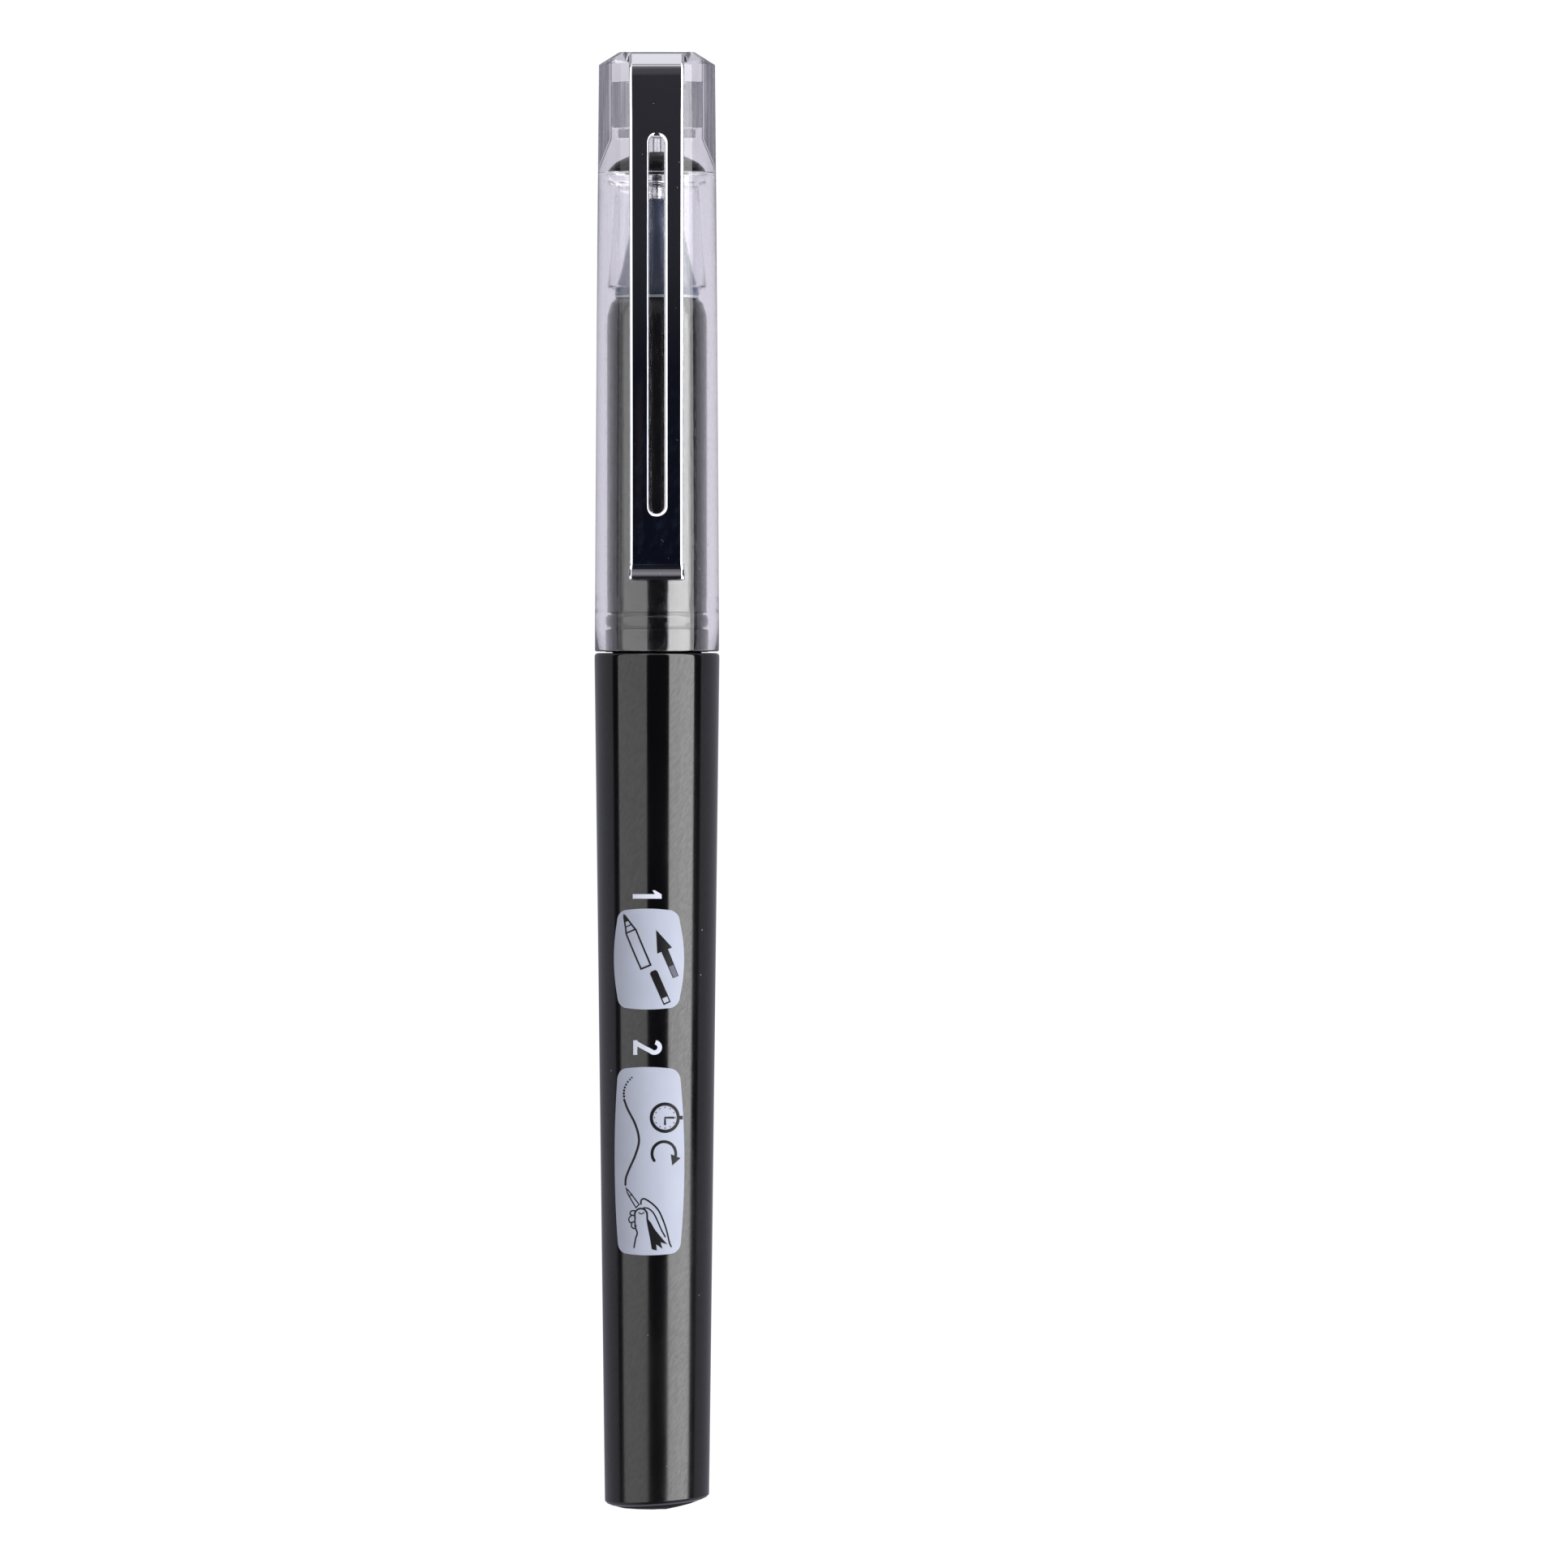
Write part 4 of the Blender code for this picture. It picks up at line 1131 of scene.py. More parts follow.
# ------------------------------------------------------------- point and ball
tip_y = TUBE.y1
lathe(
    "tip_tube_fine",
    [
        (0.39, tip_y, 0.03),
        (0.44, tip_y - 0.14, 0.05),
        (TUBE.r - 0.005, tip_y - 0.82, 0.12),
        (TUBE.r - 0.005, NOSE.y1 + 0.25, 0.03),
        (TUBE.r - 0.06, NOSE.y1 + 0.18, 0.02),
        (TUBE.r - 0.06, TUBE.y0, 0.05),
        (0.36, TUBE.y0, 0.03),
        (0.36, tip_y, 0.02),
    ],
    M_STEEL,
    "section",
    "tip_tube",
    segs=64,
)


def ball(name, b, mat, body, node):
    bm = bmesh.new()
    bmesh.ops.create_icosphere(bm, subdivisions=4, radius=b.r * MM * 0.995)
    c = Vector([(b.lo[i] + b.hi[i]) / 2.0 * MM for i in range(3)])
    bmesh.ops.translate(bm, vec=c, verts=bm.verts)
    me = bpy.data.meshes.new(name)
    bm.to_mesh(me)
    bm.free()
    ob = bpy.data.objects.new(name, me)
    COL.objects.link(ob)
    finish_piece(ob, mat, body, node, sharp=80)
    return ob


ball("tip_ball_fine", BALL, M_CARBIDE, "tip_ball", "tip_ball")
ball("cartridge_ball_fine", CBALL, M_POLYBALL, "cartridge_ball", "cartridge_ball")

lathe(
    "ink_wick_fine",
    [
        (0.0, WICK.y1),
        (0.22, WICK.y1, 0.05),
        (0.28, WICK.y1 - 0.3, 0.05),
        (0.28, NOSE.y0 + 5.9, 0.05),
        (0.62, NOSE.y0 + 5.3, 0.1),
        (0.65, WICK.y0 + 0.4, 0.1),
        (0.30, WICK.y0, 0.05),
        (0.0, WICK.y0),
    ],
    M_FIBRE,
    "section",
    "ink_wick",
    segs=40,
    closed=False,
)

# collector: a row of thin fins with a fine air slit along one side
fins = []
pitch, thick = 1.04, 0.42
y = COLL.y1 - 0.6
fins += [(2.2, COLL.y1, 0.05), (2.2, y)]
while y > COLL.y0 + 2.4:
    fins += [(COLL.r - 0.01, y, 0.06), (COLL.r - 0.01, y - thick, 0.06), (1.55, y - thick, 0.05), (1.55, y - pitch, 0.05)]
    y -= pitch
fins += [(COLL.r - 0.01, y, 0.06), (COLL.r - 0.01, COLL.y0, 0.12), (0.87, COLL.y0, 0.05), (0.87, COLL.y1, 0.05)]
collector = lathe("ink_collector_fine", fins, M_ABS, "section", "ink_collector", segs=72, steps=2)
boolean(collector, rounded_box("air_slit", (-0.14, COLL.y0 + 1.0, ZC + 1.7), (0.14, COLL.y1 - 0.3, ZC + 4.0), 0.0))
collector.data.shade_smooth()
collector.data.set_sharp_from_angle(angle=math.radians(32))

lathe(
    "piercing_tube_fine",
    [
        (PIERCE.r - 0.01, PIERCE.y1, 0.08),
        (PIERCE.r - 0.01, PIERCE.y1 - 1.75, 0.08),
        (1.55, PIERCE.y1 - 1.95, 0.2),
        (1.14, PIERCE.y1 - 2.35, 0.2),
        (1.14, PIERCE.y0 + 0.8, 0.1),
        (0.74, PIERCE.y0, 0.04),
        (0.56, PIERCE.y0, 0.03),
        (0.56, PIERCE.y1 - 0.9, 0.1),
        (0.90, PIERCE.y1 - 0.6, 0.1),
        (0.90, PIERCE.y1, 0.04),
    ],
    M_ABS,
    "section",
    "piercing_tube",
    segs=72,
)

# --------------------------------------------------------------------- barrel


def slant_end(r, y, a):
    """The barrel's end is not quite square: its left side and its near side hang a little lower."""
    f = min(1.0, max(0.0, (BAR.y0 + 4.0 - y) / 4.0))
    return r, max(y + f * (0.070 * r * math.cos(a) - 0.060 * r * math.sin(a)), PLUG.y0)


bar_end = BAR.y0 + 0.90
R_END = BAR.r - 0.96
bar_r = taper(BAR.r - 0.004, BAR.y1 - 0.40, R_END, bar_end)
barrel_profile = [
    (BAR.r - 0.02, BAR.y1, 0.30),
    (BAR.r - 0.004, BAR.y1 - 0.55),
]
for k in range(1, 20):
    y = BAR.y1 - 0.55 + (bar_end - BAR.y1 + 0.55) * k / 20.0
    barrel_profile.append((bar_r(y), y))
barrel_profile += [
    (R_END - 0.01, BAR.y0 + 0.44, 0.05),
    (R_END - 0.22, BAR.y0 + 0.21, 0.12),
    (PLUG.r + 0.07, BAR.y0, 0.06),
    (PLUG.r + 0.07, bar_end - 0.16, 0.03),
    (3.64, bar_end - 0.16, 0.05),
    (3.64, PLUG.y1 + 0.5, 0.1),
    (3.98, PLUG.y1 + 1.0, 0.2),
    (4.35, BAR.y1 - 9.9, 0.2),
    (4.64, BAR.y1 - 9.5, 0.1),
    (4.64, BAR.y1 - 1.2, 0.2),
    (4.86, BAR.y1 - 0.25, 0.1),
    (4.97, BAR.y1, 0.06),
]
lathe("barrel_fine", barrel_profile, M_BARREL, "barrel", "barrel", segs=176, sharp=34, wobble=slant_end)
lathe(
    "barrel_end_plug_fine",
    [
        (0.0, PLUG.y1 - 0.6),
        (2.6, PLUG.y1 - 0.6, 0.1),
        (2.6, PLUG.y1, 0.05),
        (3.33, PLUG.y1, 0.06),
        (3.49, PLUG.y1 - 0.3, 0.1),
        (3.49, bar_end - 0.29, 0.05),
        (PLUG.r - 0.01, bar_end - 0.29, 0.03),
        (PLUG.r - 0.01, BAR.y0 - 0.0, 0.06),
        (3.35, BAR.y0 - 0.26, 0.5),
        (2.20, BAR.y0 - 0.50, 0.8),
        (1.28, PLUG.y0, 0.4),
        (0.0, PLUG.y0),
    ],
    M_MATT,
    "barrel",
    "barrel_end_plug",
    segs=144,
    closed=False,
    wobble=slant_end,
)

# ------------------------------------------------------------------ cartridge
shoulder = CTUBE.y1 - 3.15
wall_r = CTUBE.r - 0.5
lathe(
    "cartridge_tube_fine",
    [
        (1.95, CTUBE.y1, 0.10),
        (2.15, CTUBE.y1 - 0.40, 0.15),
        (2.38, shoulder + 0.55, 0.15),
        (2.62, shoulder, 0.25),
        (3.40, shoulder - 0.55, 0.3),
        (CTUBE.r - 0.005, shoulder - 1.05, 0.4),
        (CTUBE.r - 0.005, CTUBE.y0 + 0.15, 0.12),
        (CTUBE.r - 0.2, CTUBE.y0, 0.06),
        (wall_r, CTUBE.y0, 0.05),
        (wall_r, shoulder - 1.35, 0.3),
        (1.90, shoulder - 0.35, 0.2),
        (1.52, shoulder + 0.35, 0.1),
        (1.52, CTUBE.y1, 0.04),
    ],
    M_CART,
    "cartridge",
    "cartridge_tube",
    segs=128,
)
plug_profile = [(0.0, CPLUG.y1), (2.90, CPLUG.y1, 0.1), (CPLUG.r - 0.01, CPLUG.y1 - 0.4, 0.05)]
for k in range(4):
    yy = CPLUG.y1 - 1.1 - 1.1 * k
    plug_profile += [(CPLUG.r - 0.01, yy + 0.12, 0.03), (CPLUG.r - 0.14, yy, 0.03), (CPLUG.r - 0.01, yy - 0.12, 0.03)]
plug_profile += [
    (CPLUG.r - 0.01, CPLUG.y0, 0.06),
    (2.60, CPLUG.y0, 0.06),
    (2.60, CPLUG.y1 - 0.7, 0.2),
    (0.0, CPLUG.y1 - 0.7),
]
lathe("cartridge_plug_fine", plug_profile, M_CART, "cartridge", "cartridge_plug", segs=96, closed=False)
# the ink's skin on the tube's inner wall
lathe(
    "cartridge_ink",
    [
        (wall_r - 0.02, shoulder - 1.6, 0.1),
        (wall_r - 0.02, CPLUG.y1 + 0.5, 0.1),
        (wall_r - 0.07, CPLUG.y1 + 0.6, 0.02),
        (wall_r - 0.07, shoulder - 1.7, 0.02),
    ],
    M_INK,
    "cartridge",
    segs=96,
)

# ------------------------------------------------------- printed usage panels
# Drawn flat in millimetres: u runs round the barrel, v along the pen.  The
# middle of the panels sits a little to the left of the clip's line.
U_MID = math.radians(-9.4)


def wrap(u, v, lift):
    """Barrel surface point for print coordinates, raised by lift."""
    r = bar_r(v) + lift
    a = math.pi / 2 - (U_MID + u / bar_r(v))
    return (r * math.cos(a) * MM, v * MM, (ZC + r * math.sin(a)) * MM)


def decal(name, loops, lift, mat, thick=0.012, cell=0.3):
    """A flat outline (outer loop first, then holes), wrapped on the barrel as a thin closed skin."""
    flat = bmesh.new()
    edges = []
    for loop in loops:
        ring = [flat.verts.new((u, v, 0.0)) for u, v in loop]
        for i in range(len(ring)):
            edges.append(flat.edges.new((ring[i], ring[(i + 1) % len(ring)])))
    bmesh.ops.triangle_fill(flat, use_beauty=True, use_dissolve=False, edges=edges)
    us = [v.co.x for v in flat.verts]
    vs = [v.co.y for v in flat.verts]
    n = int((max(us) - min(us)) / cell)
    for k in range(1, n + 1):
        u = min(us) + (max(us) - min(us)) * k / (n + 1)
        bmesh.ops.bisect_plane(
            flat, geom=list(flat.verts) + list(flat.edges) + list(flat.faces), plane_co=(u, 0, 0), plane_no=(1, 0, 0), dist=1e-5
        )
    bmesh.ops.remove_doubles(flat, verts=flat.verts, dist=1e-4)
    # thicken: copy the sheet and join the borders
    top = {v: i for i, v in enumerate(flat.verts)}
    count = len(top)
    verts = [wrap(v.co.x, v.co.y, lift + thick) for v in flat.verts] + [wrap(v.co.x, v.co.y, lift) for v in flat.verts]
    faces = []
    for f in flat.faces:
        ids = [top[v] for v in f.verts]
        faces.append(ids)
        faces.append([i + count for i in reversed(ids)])
    for e in flat.edges:
        if len(e.link_faces) == 1:
            a, b = (top[v] for v in e.verts)
            faces.append([a, b, b + count, a + count])
    flat.free()
    return add_mesh(name, verts, faces, mat, "barrel", sharp=40)


def superpanel(w, h, v_mid, bulge, corner, steps=10):
    """A panel whose sides bow outward and whose corners are round."""
    # walk the four corners; bowed sides are shallow parabolas
    pts = []
    hw, hh = w / 2.0 - bulge, h / 2.0

    def side(a, b, bow, n=14):
        ax, ay = a
        bx, by = b
        nx, ny = (by - ay), -(bx - ax)
        length = math.hypot(nx, ny)
        nx, ny = nx / length, ny / length
        out = []
        for k in range(n + 1):
            f = k / n
            d = bow * 4 * f * (1 - f)
            out.append((ax + (bx - ax) * f + nx * d, ay + (by - ay) * f + ny * d))
        return out

    c = corner
    right = side((hw, -hh + c), (hw, hh - c), bulge)
    top = side((hw - c, hh), (-hw + c, hh), 0.12)
    left = side((-hw, hh - c), (-hw, -hh + c), bulge)
    bottom = side((-hw + c, -hh), (hw - c, -hh), 0.12)

    def corner_pts(a, b, cx, cy):
        out = []
        a0, a1 = math.atan2(a[1] - cy, a[0] - cx), math.atan2(b[1] - cy, b[0] - cx)
        while a1 < a0:
            a1 += math.tau
        ra, rb = math.hypot(a[0] - cx, a[1] - cy), math.hypot(b[0] - cx, b[1] - cy)
        for k in range(1, steps):
            f = k / steps
            ang, rr = a0 + (a1 - a0) * f, ra + (rb - ra) * f
            out.append((cx + rr * math.cos(ang), cy + rr * math.sin(ang)))
        return out

    pts += right
    pts += corner_pts(right[-1], top[0], hw - c, hh - c)
    pts += top
    pts += corner_pts(top[-1], left[0], -hw + c, hh - c)
    pts += left
    pts += corner_pts(left[-1], bottom[0], -hw + c, -hh + c)
    pts += bottom
    pts += corner_pts(bottom[-1], right[0], hw - c, -hh + c)
    return [(u, v + v_mid) for u, v in pts]


def stroke(points, width, caps=True, closed=False):
    """A pen line of even width along points, as one closed outline."""
    n = len(points)
    left, right = [], []
    for i in range(n):
        a = points[i - 1] if (i or closed) else points[i]
        b = points[(i + 1) % n] if (i < n - 1 or closed) else points[i]
        dx, dy = b[0] - a[0], b[1] - a[1]
        d = math.hypot(dx, dy) or 1.0
        nx, ny = -dy / d * width / 2, dx / d * width / 2
        left.append((points[i][0] + nx, points[i][1] + ny))
        right.append((points[i][0] - nx, points[i][1] - ny))
    if closed:
        return [left, right]
    out = list(left)
    if caps:
        dx, dy = points[-1][0] - points[-2][0], points[-1][1] - points[-2][1]
        a0 = math.atan2(dy, dx)
        for k in range(1, 6):
            a = a0 + math.pi / 2 - math.pi * k / 6
            out.append((points[-1][0] + width / 2 * math.cos(a), points[-1][1] + width / 2 * math.sin(a)))
    out += right[::-1]
    if caps:
        dx, dy = points[0][0] - points[1][0], points[0][1] - points[1][1]
        a0 = math.atan2(dy, dx)
        for k in range(1, 6):
            a = a0 + math.pi / 2 - math.pi * k / 6
            out.append((points[0][0] + width / 2 * math.cos(a), points[0][1] + width / 2 * math.sin(a)))
    return [out]


def smooth_line(points, n=10):
    """A Catmull-Rom line through the points."""
    pts = [points[0]] + list(points) + [points[-1]]
    out = []
    for i in range(1, len(pts) - 2):
        p0, p1, p2, p3 = pts[i - 1], pts[i], pts[i + 1], pts[i + 2]
        for k in range(n):
            t = k / n
            out.append(
                tuple(
                    0.5
                    * (
                        2 * p1[j]
                        + (p2[j] - p0[j]) * t
                        + (2 * p0[j] - 5 * p1[j] + 4 * p2[j] - p3[j]) * t * t
                        + (3 * p1[j] - p0[j] - 3 * p2[j] + p3[j]) * t ** 3
                    )
                    for j in (0, 1)
                )
            )
    out.append(tuple(points[-1]))
    return out


def placed(points, origin, angle):
    """Turn a small drawing about its own origin and put it on the panel."""
    c, s = math.cos(angle), math.sin(angle)
    return [(origin[0] + x * c - y * s, origin[1] + x * s + y * c) for x, y in points]


def circle(cx, cy, r, n=28):
    return [(cx + r * math.cos(math.tau * k / n), cy + r * math.sin(math.tau * k / n)) for k in range(n)]


P_W = 7.1
V1_TOP, V1_BOT = BAR.y1 - 23.95, BAR.y1 - 33.1
V2_TOP, V2_BOT = BAR.y1 - 38.7, BAR.y1 - 56.0
V1, V2 = (V1_TOP + V1_BOT) / 2, (V2_TOP + V2_BOT) / 2
decal("panel_one", [superpanel(P_W, V1_TOP - V1_BOT, V1, 0.42, 1.15)], 0.004, M_WHITE)
decal("panel_two", [superpanel(P_W, V2_TOP - V2_BOT, V2, 0.38, 1.15)], 0.004, M_WHITE)

# numerals, turned to be read along the pen: up in the drawing is +u
L_ART = 0.020


def numeral_one(v_mid):
    w, h = 1.0, 2.75
    body = [
        (h / 2, v_mid + 0.0 - 0.28),
        (h / 2, v_mid + 0.12),
        (h / 2 - 0.62, v_mid + 0.50),
        (h / 2 - 0.86, v_mid + 0.50),
        (h / 2 - 0.62, v_mid + 0.14),
        (-h / 2, v_mid + 0.14),
        (-h / 2, v_mid - 0.28),
    ]
    decal("numeral_one", [body], 0.004, M_NUMERAL)


def numeral_two(v_mid):
    h, w = 2.70, 1.40
    line = []
    # drawn upright in (x, y), then laid on its side: x runs against v, y runs with u
    for k in range(15):
        a = math.radians(168 - 215 * k / 14)
        line.append((0.48 * math.cos(a), h / 2 - 0.68 + 0.50 * math.sin(a)))
    line += [(0.05, -0.25), (-0.42, -h / 2 + 0.24)]
    line = smooth_line(line, 3)
    shape = stroke(line, 0.42, caps=False)[0]
    base = [(-0.66, -h / 2), (0.70, -h / 2), (0.70, -h / 2 + 0.40), (-0.66, -h / 2 + 0.40)]
    decal("numeral_two", [[(y, v_mid - x) for x, y in shape]], 0.004, M_NUMERAL)
    decal("numeral_two_foot", [[(y, v_mid - x) for x, y in base]], 0.018, M_NUMERAL)


numeral_one((BAR.y1 - 22.62))
numeral_two((BAR.y1 - 36.75))

def seen_from_above(x, y):
    """Print coordinates of the barrel point that is seen at x, y from straight above."""
    r = bar_r(y)
    return (r * (math.asin(x / r) - U_MID), y)


def inset_poly(poly, d):
    n = len(poly)
    a = sum(poly[i - 1][0] * poly[i][1] - poly[i][0] * poly[i - 1][1] for i in range(n))
    sgn = 1.0 if a > 0 else -1.0
    out = []
    for i in range(n):
        p0, p1, p2 = Vector(poly[i - 1]), Vector(poly[i]), Vector(poly[(i + 1) % n])
        e1, e2 = (p1 - p0).normalized(), (p2 - p1).normalized()
        n1, n2 = Vector((-e1.y, e1.x)), Vector((-e2.y, e2.x))
        m = n1 + n2
        m = m / max(m.length_squared / 2.0, 0.35)
        q = p1 + m * d * sgn
        out.append((q.x, q.y))
    return out


def area_fill(name, points, lift, mat):
    decal(name, [[seen_from_above(*p) for p in points]], lift, mat)


def area_outline(name, points, width, lift, mat):
    ring_ = [seen_from_above(*p) for p in points]
    decal(name, [ring_, inset_poly(ring_, width)], lift, mat, cell=0.4)


def line(name, points, width, lift=L_ART, mat=None, curved=True):
    pts = [seen_from_above(*p) for p in points]
    decal(name, stroke(smooth_line(pts, 7) if curved else pts, width), lift, mat or M_ART, cell=0.4)


def along(origin, angle, pts):
    return placed(pts, origin, math.radians(angle))


# panel one: a pen, an arrow and a cartridge, all leaning the same way
T1 = V1                            # the panel's middle station
pen_at = (-2.02, T1 + 1.70)
body = [(-2.72, -0.56), (0.95, -0.56), (1.30, -0.44), (2.45, -0.15), (2.72, 0.0), (2.45, 0.15), (1.30, 0.44), (0.95, 0.56), (-2.72, 0.56)]
area_outline("picture_pen", along(pen_at, 112.8, body), 0.16, L_ART, M_ART)
area_fill("picture_pen_band", along(pen_at, 112.8, [(0.90, -0.45), (1.04, -0.45), (1.04, 0.45), (0.90, 0.45)]), L_ART, M_ART)
area_fill("picture_pen_neck", along(pen_at, 112.8, [(1.46, -0.32), (1.56, -0.30), (1.56, 0.30), (1.46, 0.32)]), L_ART, M_ART)
area_fill("picture_pen_point", along(pen_at, 112.8, [(1.95, -0.22), (2.45, -0.13), (2.68, 0.0), (2.45, 0.13), (1.95, 0.22)]), L_ART + 0.014, M_ART)
arrow_at = (0.86, T1 + 0.52)
arrow = [(-2.38, -0.29), (0.30, -0.33), (0.30, -0.74), (2.38, 0.0), (0.30, 0.74), (0.30, 0.33), (-2.38, 0.29)]
area_fill("picture_arrow", along(arrow_at, 112.5, arrow), L_ART, M_ART)
area_fill("picture_arrow_tail", along(arrow_at, 112.5, [(-2.34, -0.22), (-1.25, -0.235), (-1.25, 0.235), (-2.34, 0.22)]), L_ART + 0.014, M_GREYART)
cart_at = (0.32, T1 - 2.62)
cart = [(-1.66, -0.36), (1.50, -0.36), (1.66, -0.22), (1.66, 0.22), (1.50, 0.36), (-1.66, 0.36)]
area_fill("picture_cartridge", along(cart_at, 113.5, cart), L_ART, M_ART)
area_fill("picture_cartridge_window", along(cart_at, 113.5, [(-1.52, -0.24), (-1.05, -0.24), (-1.05, 0.24), (-1.52, 0.24)]), L_ART + 0.014, M_WHITE)

# panel two: a written line that starts as dots, a clock with a turning arrow, and a hand with a pen
T2 = V2
DOTS = [(-2.30, 7.78), (-2.48, 7.60), (-2.68, 7.38), (-2.84, 7.12), (-2.96, 6.85), (-3.03, 6.58), (-3.05, 6.30), (-3.03, 6.02)]
for k, (x, y) in enumerate(DOTS):
    u, v = seen_from_above(x, T2 + y)
    decal(f"picture_dot_{k}", [circle(u, v, 0.085 + 0.006 * k, 10)], L_ART, M_ART)
line(
    "picture_line",
    [(-3.02, T2 + 5.72), (-2.70, T2 + 4.85), (-2.10, T2 + 3.70), (-1.72, T2 + 2.60), (-1.66, T2 + 1.65), (-2.02, T2 + 0.45), (-2.55, T2 - 0.75), (-2.86, T2 - 1.60), (-2.90, T2 - 2.20)],
    0.21,
)

clock_c = seen_from_above(0.78, T2 + 4.05)
decal("picture_clock_ring", [circle(*clock_c, 1.42, 56), circle(*clock_c, 1.12, 56)], L_ART, M_ART)
decal(
    "picture_clock_hands",
    stroke([(clock_c[0] + 0.80, clock_c[1]), (clock_c[0], clock_c[1]), (clock_c[0], clock_c[1] - 0.62)], 0.20),
    L_ART,
    M_ART,
)
for k in range(12):
    a = math.tau * k / 12
    decal(f"picture_clock_tick_{k}", [circle(clock_c[0] + 0.97 * math.cos(a), clock_c[1] + 0.97 * math.sin(a), 0.06, 8)], L_ART, M_ART)
decal(
    "picture_clock_stem",
    [[(clock_c[0] + 1.40, clock_c[1] - 0.17), (clock_c[0] + 1.72, clock_c[1] - 0.17), (clock_c[0] + 1.72, clock_c[1] + 0.17), (clock_c[0] + 1.40, clock_c[1] + 0.17)]],
    L_ART,
    M_ART,
)
sweep = [(clock_c[0] - 0.10 + 1.12 * math.cos(a), clock_c[1] - 3.35 + 1.12 * math.sin(a)) for a in [math.radians(215 - 235 * k / 20) for k in range(21)]]
decal("picture_sweep", stroke(sweep, 0.27), L_ART, M_ART)
decal("picture_sweep_head", [placed([(-0.15, -0.50), (0.75, 0.0), (-0.15, 0.50)], sweep[-1], math.radians(-112))], L_ART + 0.014, M_ART)

# the hand: pen, forefinger, thumb and curled fingers in plain outline, with one dark fold
area_outline("picture_pen_two", [(-2.88, T2 - 2.42), (-2.58, T2 - 2.72), (-2.12, T2 - 3.30), (-1.55, T2 - 4.05), (-1.93, T2 - 4.42), (-2.42, T2 - 3.60), (-2.76, T2 - 2.98)], 0.11, L_ART, M_ART)
area_fill("picture_pen_two_point", [(-2.87, T2 - 2.45), (-2.66, T2 - 2.70), (-2.78, T2 - 2.84)], L_ART + 0.014, M_ART)
line("picture_pen_two_band", [(-2.30, T2 - 3.08), (-2.56, T2 - 3.30)], 0.10, curved=False)
line(
    "picture_forefinger",
    [(-1.45, T2 - 4.00), (-1.42, T2 - 3.62), (-1.10, T2 - 3.52), (-0.42, T2 - 3.95), (0.18, T2 - 4.60), (0.60, T2 - 5.50), (0.92, T2 - 6.45), (1.18, T2 - 7.55), (1.34, T2 - 7.95)],
    0.15,
)
line("picture_forefinger_under", [(-1.20, T2 - 4.35), (-0.75, T2 - 4.42), (-0.28, T2 - 4.85), (0.10, T2 - 5.60), (0.42, T2 - 6.35), (0.80, T2 - 7.05)], 0.13)
line(
    "picture_thumb",
    [(-2.00, T2 - 5.35), (-2.02, T2 - 4.85), (-1.72, T2 - 4.48), (-1.25, T2 - 4.45), (-0.92, T2 - 4.78), (-0.86, T2 - 5.45), (-0.72, T2 - 6.25), (-0.55, T2 - 7.10), (-0.38, T2 - 8.15)],
    0.16,
)
line("picture_nail", [(-1.66, T2 - 4.80), (-1.42, T2 - 4.92), (-1.16, T2 - 4.78)], 0.10)
line("picture_curl_1", [(-2.02, T2 - 4.62), (-2.36, T2 - 4.66), (-2.46, T2 - 4.95), (-2.14, T2 - 5.08)], 0.12)
line("picture_curl_2", [(-2.34, T2 - 5.08), (-2.58, T2 - 5.35), (-2.48, T2 - 5.72), (-2.10, T2 - 5.66)], 0.12)
line("picture_curl_3", [(-2.30, T2 - 5.78), (-2.34, T2 - 6.10), (-2.08, T2 - 6.28), (-1.90, T2 - 6.02)], 0.12)
line("picture_palm", [(-2.02, T2 - 5.45), (-1.98, T2 - 6.15), (-1.80, T2 - 6.70), (-1.96, T2 - 7.25), (-2.10, T2 - 8.05)], 0.14)
area_fill(
    "picture_fold",
    [(-0.80, T2 - 5.40), (-0.52, T2 - 5.75), (-0.18, T2 - 6.35), (0.30, T2 - 6.95), (0.98, T2 - 7.75), (0.35, T2 - 7.55), (0.55, T2 - 8.15), (-0.05, T2 - 7.75), (0.02, T2 - 8.30), (-0.32, T2 - 8.25), (-0.50, T2 - 7.10), (-0.68, T2 - 6.25)],
    L_ART + 0.014,
    M_ART,
)

# -------------------------------------------------------------- floor, lights
floor_me = bpy.data.meshes.new("floor")
S = 3.0
floor_me.from_pydata([(-S, -S, -0.0002), (S, -S, -0.0002), (S, S, -0.0002), (-S, S, -0.0002)], [], [(0, 1, 2, 3)])
floor = bpy.data.objects.new("floor", floor_me)
SC.collection.objects.link(floor)
fm = bpy.data.materials.new("pale_floor")
fm.use_nodes = True
nt = fm.node_tree
bs = nt.nodes["Principled BSDF"]
bs.inputs["Base Color"].default_value = (0.05, 0.05, 0.05, 1.0)
bs.inputs["Roughness"].default_value = 0.8
bs.inputs["Specular IOR Level"].default_value = 0.0
bs.inputs["Emission Strength"].default_value = 1.0
path = nt.nodes.new("ShaderNodeLightPath")


def floor_mix(fac, a, b):
    n = nt.nodes.new("ShaderNodeMix")
    n.data_type = "RGBA"
    nt.links.new(fac, n.inputs["Factor"])
    for name, value in (("A", a), ("B", b)):
        socket = [q for q in n.inputs if q.name == name and q.type == "RGBA"][0]
        if isinstance(value, tuple):
            socket.default_value = (*value, 1.0)
        else:
            nt.links.new(value, socket)
    return [q for q in n.outputs if q.type == "RGBA"][0]


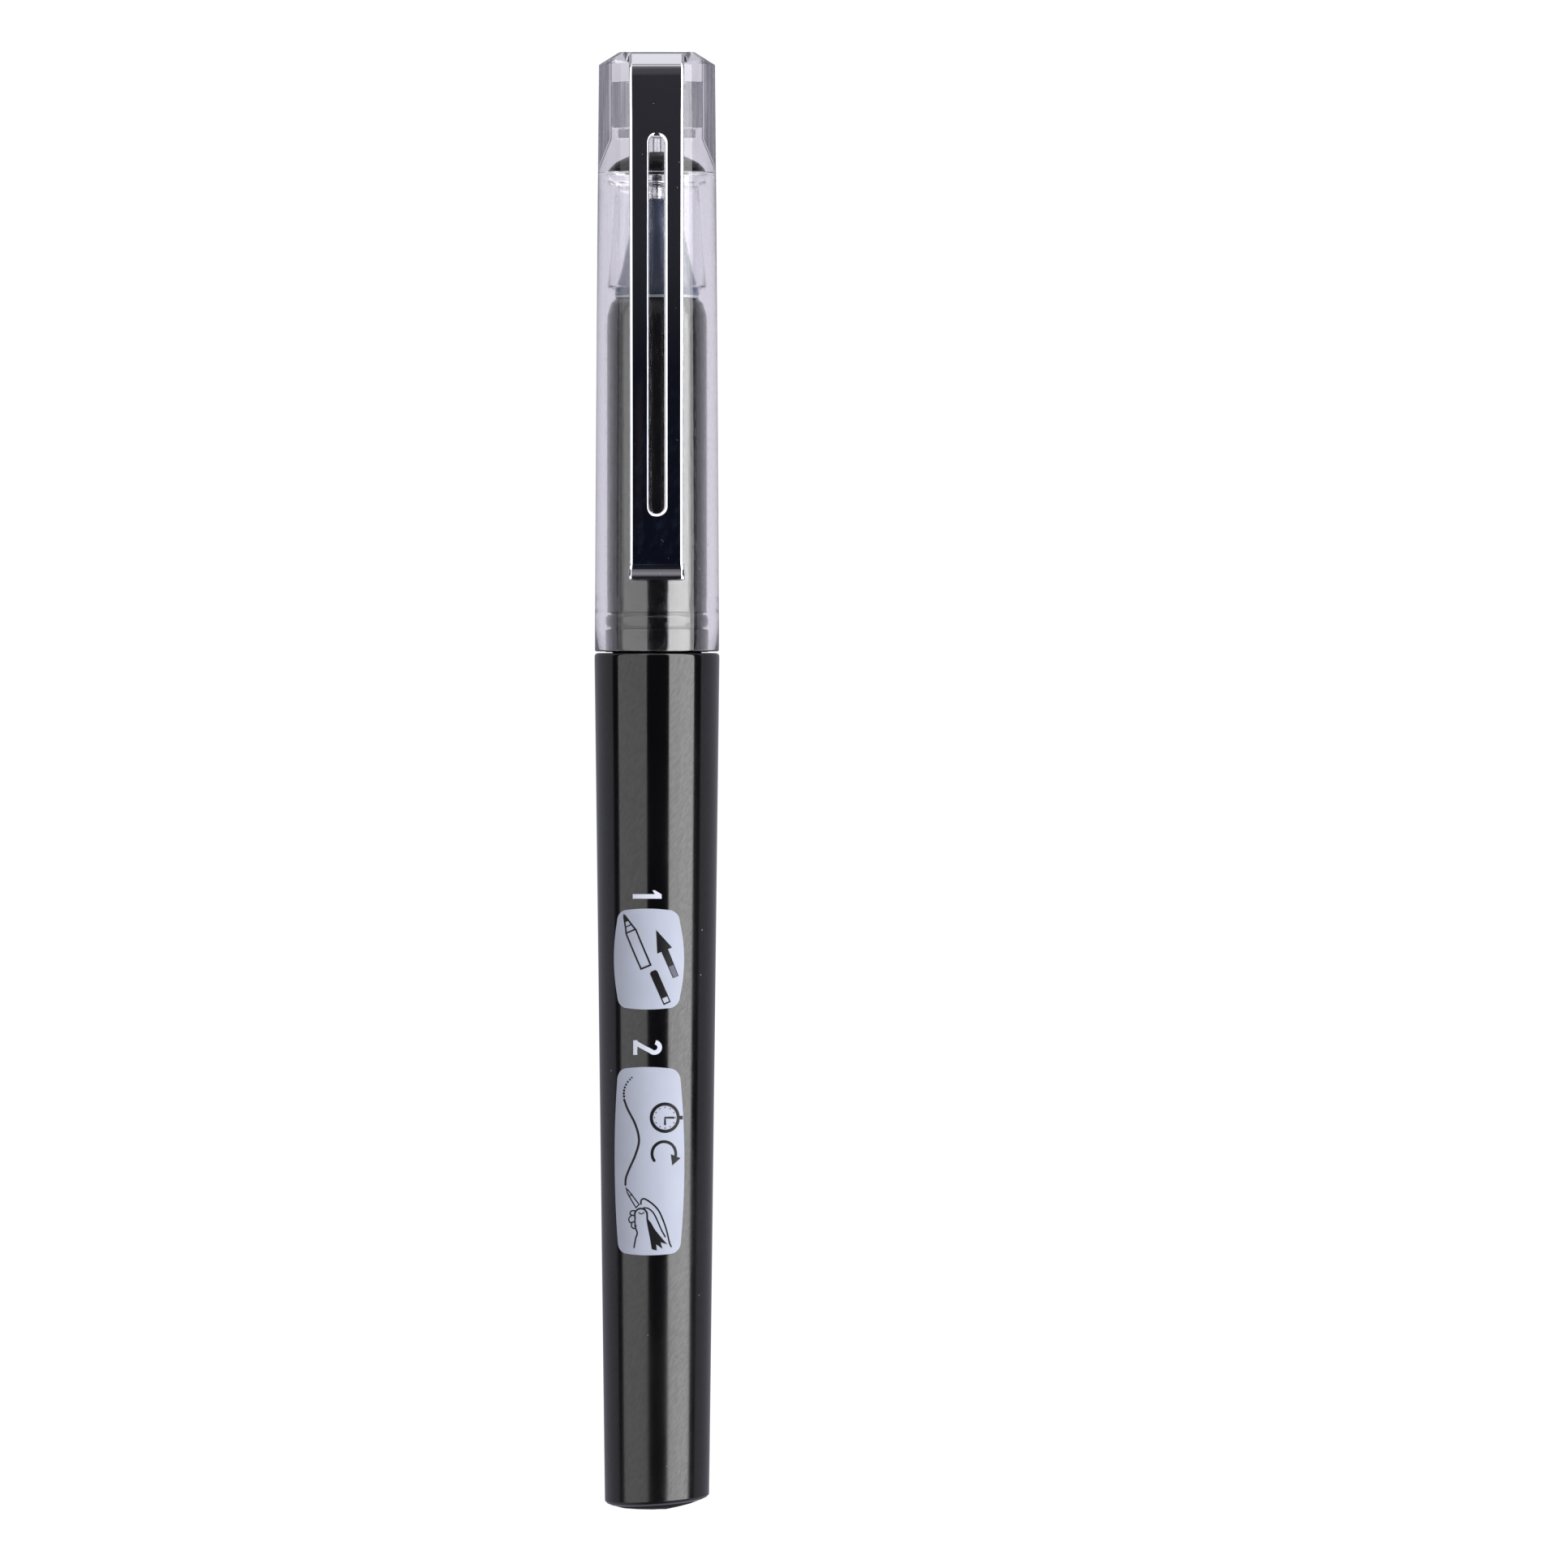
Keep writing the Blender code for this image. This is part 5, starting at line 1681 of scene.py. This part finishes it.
# the paper stays white to the camera; in and through the pen it is the dimmer, cooler studio sweep
seen = floor_mix(path.outputs["Is Glossy Ray"], (0.55, 0.54, 0.60), (0.30, 0.30, 0.36))
seen = floor_mix(path.outputs["Is Transmission Ray"], seen, (0.62, 0.60, 0.68))
seen = floor_mix(path.outputs["Is Camera Ray"], seen, (1.0, 1.0, 1.0))
nt.links.new(seen, bs.inputs["Emission Color"])
floor_me.materials.append(fm)

world = bpy.data.worlds.new("studio")
SC.world = world
world.use_nodes = True
wt = world.node_tree
wt.nodes.clear()
wout = wt.nodes.new("ShaderNodeOutputWorld")
wmix = wt.nodes.new("ShaderNodeMixShader")
wdark = wt.nodes.new("ShaderNodeBackground")
wdark.inputs["Color"].default_value = (0.040, 0.040, 0.048, 1.0)
wpale = wt.nodes.new("ShaderNodeBackground")
wpale.inputs["Color"].default_value = (1.0, 1.0, 1.0, 1.0)
lp = wt.nodes.new("ShaderNodeLightPath")
wt.links.new(lp.outputs["Is Camera Ray"], wmix.inputs["Fac"])
wt.links.new(wdark.outputs[0], wmix.inputs[1])
wt.links.new(wpale.outputs[0], wmix.inputs[2])
wt.links.new(wmix.outputs[0], wout.inputs["Surface"])


def softbox(name, angle, half, radiance, dist=0.62, length=2.4, tilt=0.0, y=0.0, colour=(1, 1, 1)):
    """A long strip light, seen at this angle from the zenith across the pen, in degrees (right is positive)."""
    light = bpy.data.lights.new(name, "AREA")
    light.shape = "RECTANGLE"
    width = 2 * dist * math.tan(math.radians(half))
    light.size, light.size_y = width, length
    light.energy = radiance * math.pi * width * length
    light.color = colour
    ob = bpy.data.objects.new(name, light)
    SC.collection.objects.link(ob)
    a = math.radians(angle)
    ob.location = (dist * math.sin(a), y, ZC * MM + dist * math.cos(a))
    ob.rotation_euler = (0.0, a, 0.0)
    ob.visible_camera = False
    return ob


softbox("left_soft", -47.5, 29.0, 1.3)
softbox("right_soft_inner", 33.5, 10.5, 4.4)
softbox("right_soft_outer", 58.5, 14.5, 4.7)


def end_panel(name, y, z, tilt, height, radiance, width=0.7):
    """A panel beyond the cap's top end, for the fold and the clip's face; tilt 90 stands upright."""
    light = bpy.data.lights.new(name, "AREA")
    light.shape = "RECTANGLE"
    light.size, light.size_y = width, height
    light.energy = radiance * math.pi * width * height
    ob = bpy.data.objects.new(name, light)
    SC.collection.objects.link(ob)
    ob.location = (0.0, y, z)
    ob.rotation_euler = (-math.radians(tilt), 0.0, 0.0)
    ob.visible_camera = False


for k, (angle, half, radiance) in enumerate(
    ((74.0, 15.0, 1.15), (53.5, 5.5, 0.62), (43.0, 5.0, 0.38), (33.5, 4.5, 0.22), (25.0, 4.0, 0.11), (17.5, 3.5, 0.05))
):
    dist = 0.80
    a = math.radians(angle)
    end_panel(
        f"end_{k}",
        dist * math.sin(a) + 0.06,
        ZC * MM + dist * math.cos(a),
        angle,
        2 * dist * math.tan(math.radians(half)),
        radiance,
    )

# --------------------------------------------------------------------- camera
# Straight down on the lying pen, which stands left of the frame's middle.
cam = bpy.data.cameras.new("camera")
cam.sensor_width = 36.0
cam.lens = 500.0
cam.clip_start, cam.clip_end = 0.01, 10.0
co = bpy.data.objects.new("camera", cam)
SC.collection.objects.link(co)
FRAME_W = (CAD_BOX[1][1] - CAD_BOX[0][1]) / 1794.5 * 1932.0
lift = FRAME_W * cam.lens / cam.sensor_width
co.location = (0.01186, -0.00032, ZC * MM + lift)
co.rotation_euler = (0.0, 0.0, 0.0)
SC.camera = co
SC.view_settings.view_transform = "Standard"
SC.view_settings.look = "None"
SC.cycles.max_bounces = 24
SC.cycles.transmission_bounces = 20
SC.cycles.glossy_bounces = 10
SC.cycles.transparent_max_bounces = 16
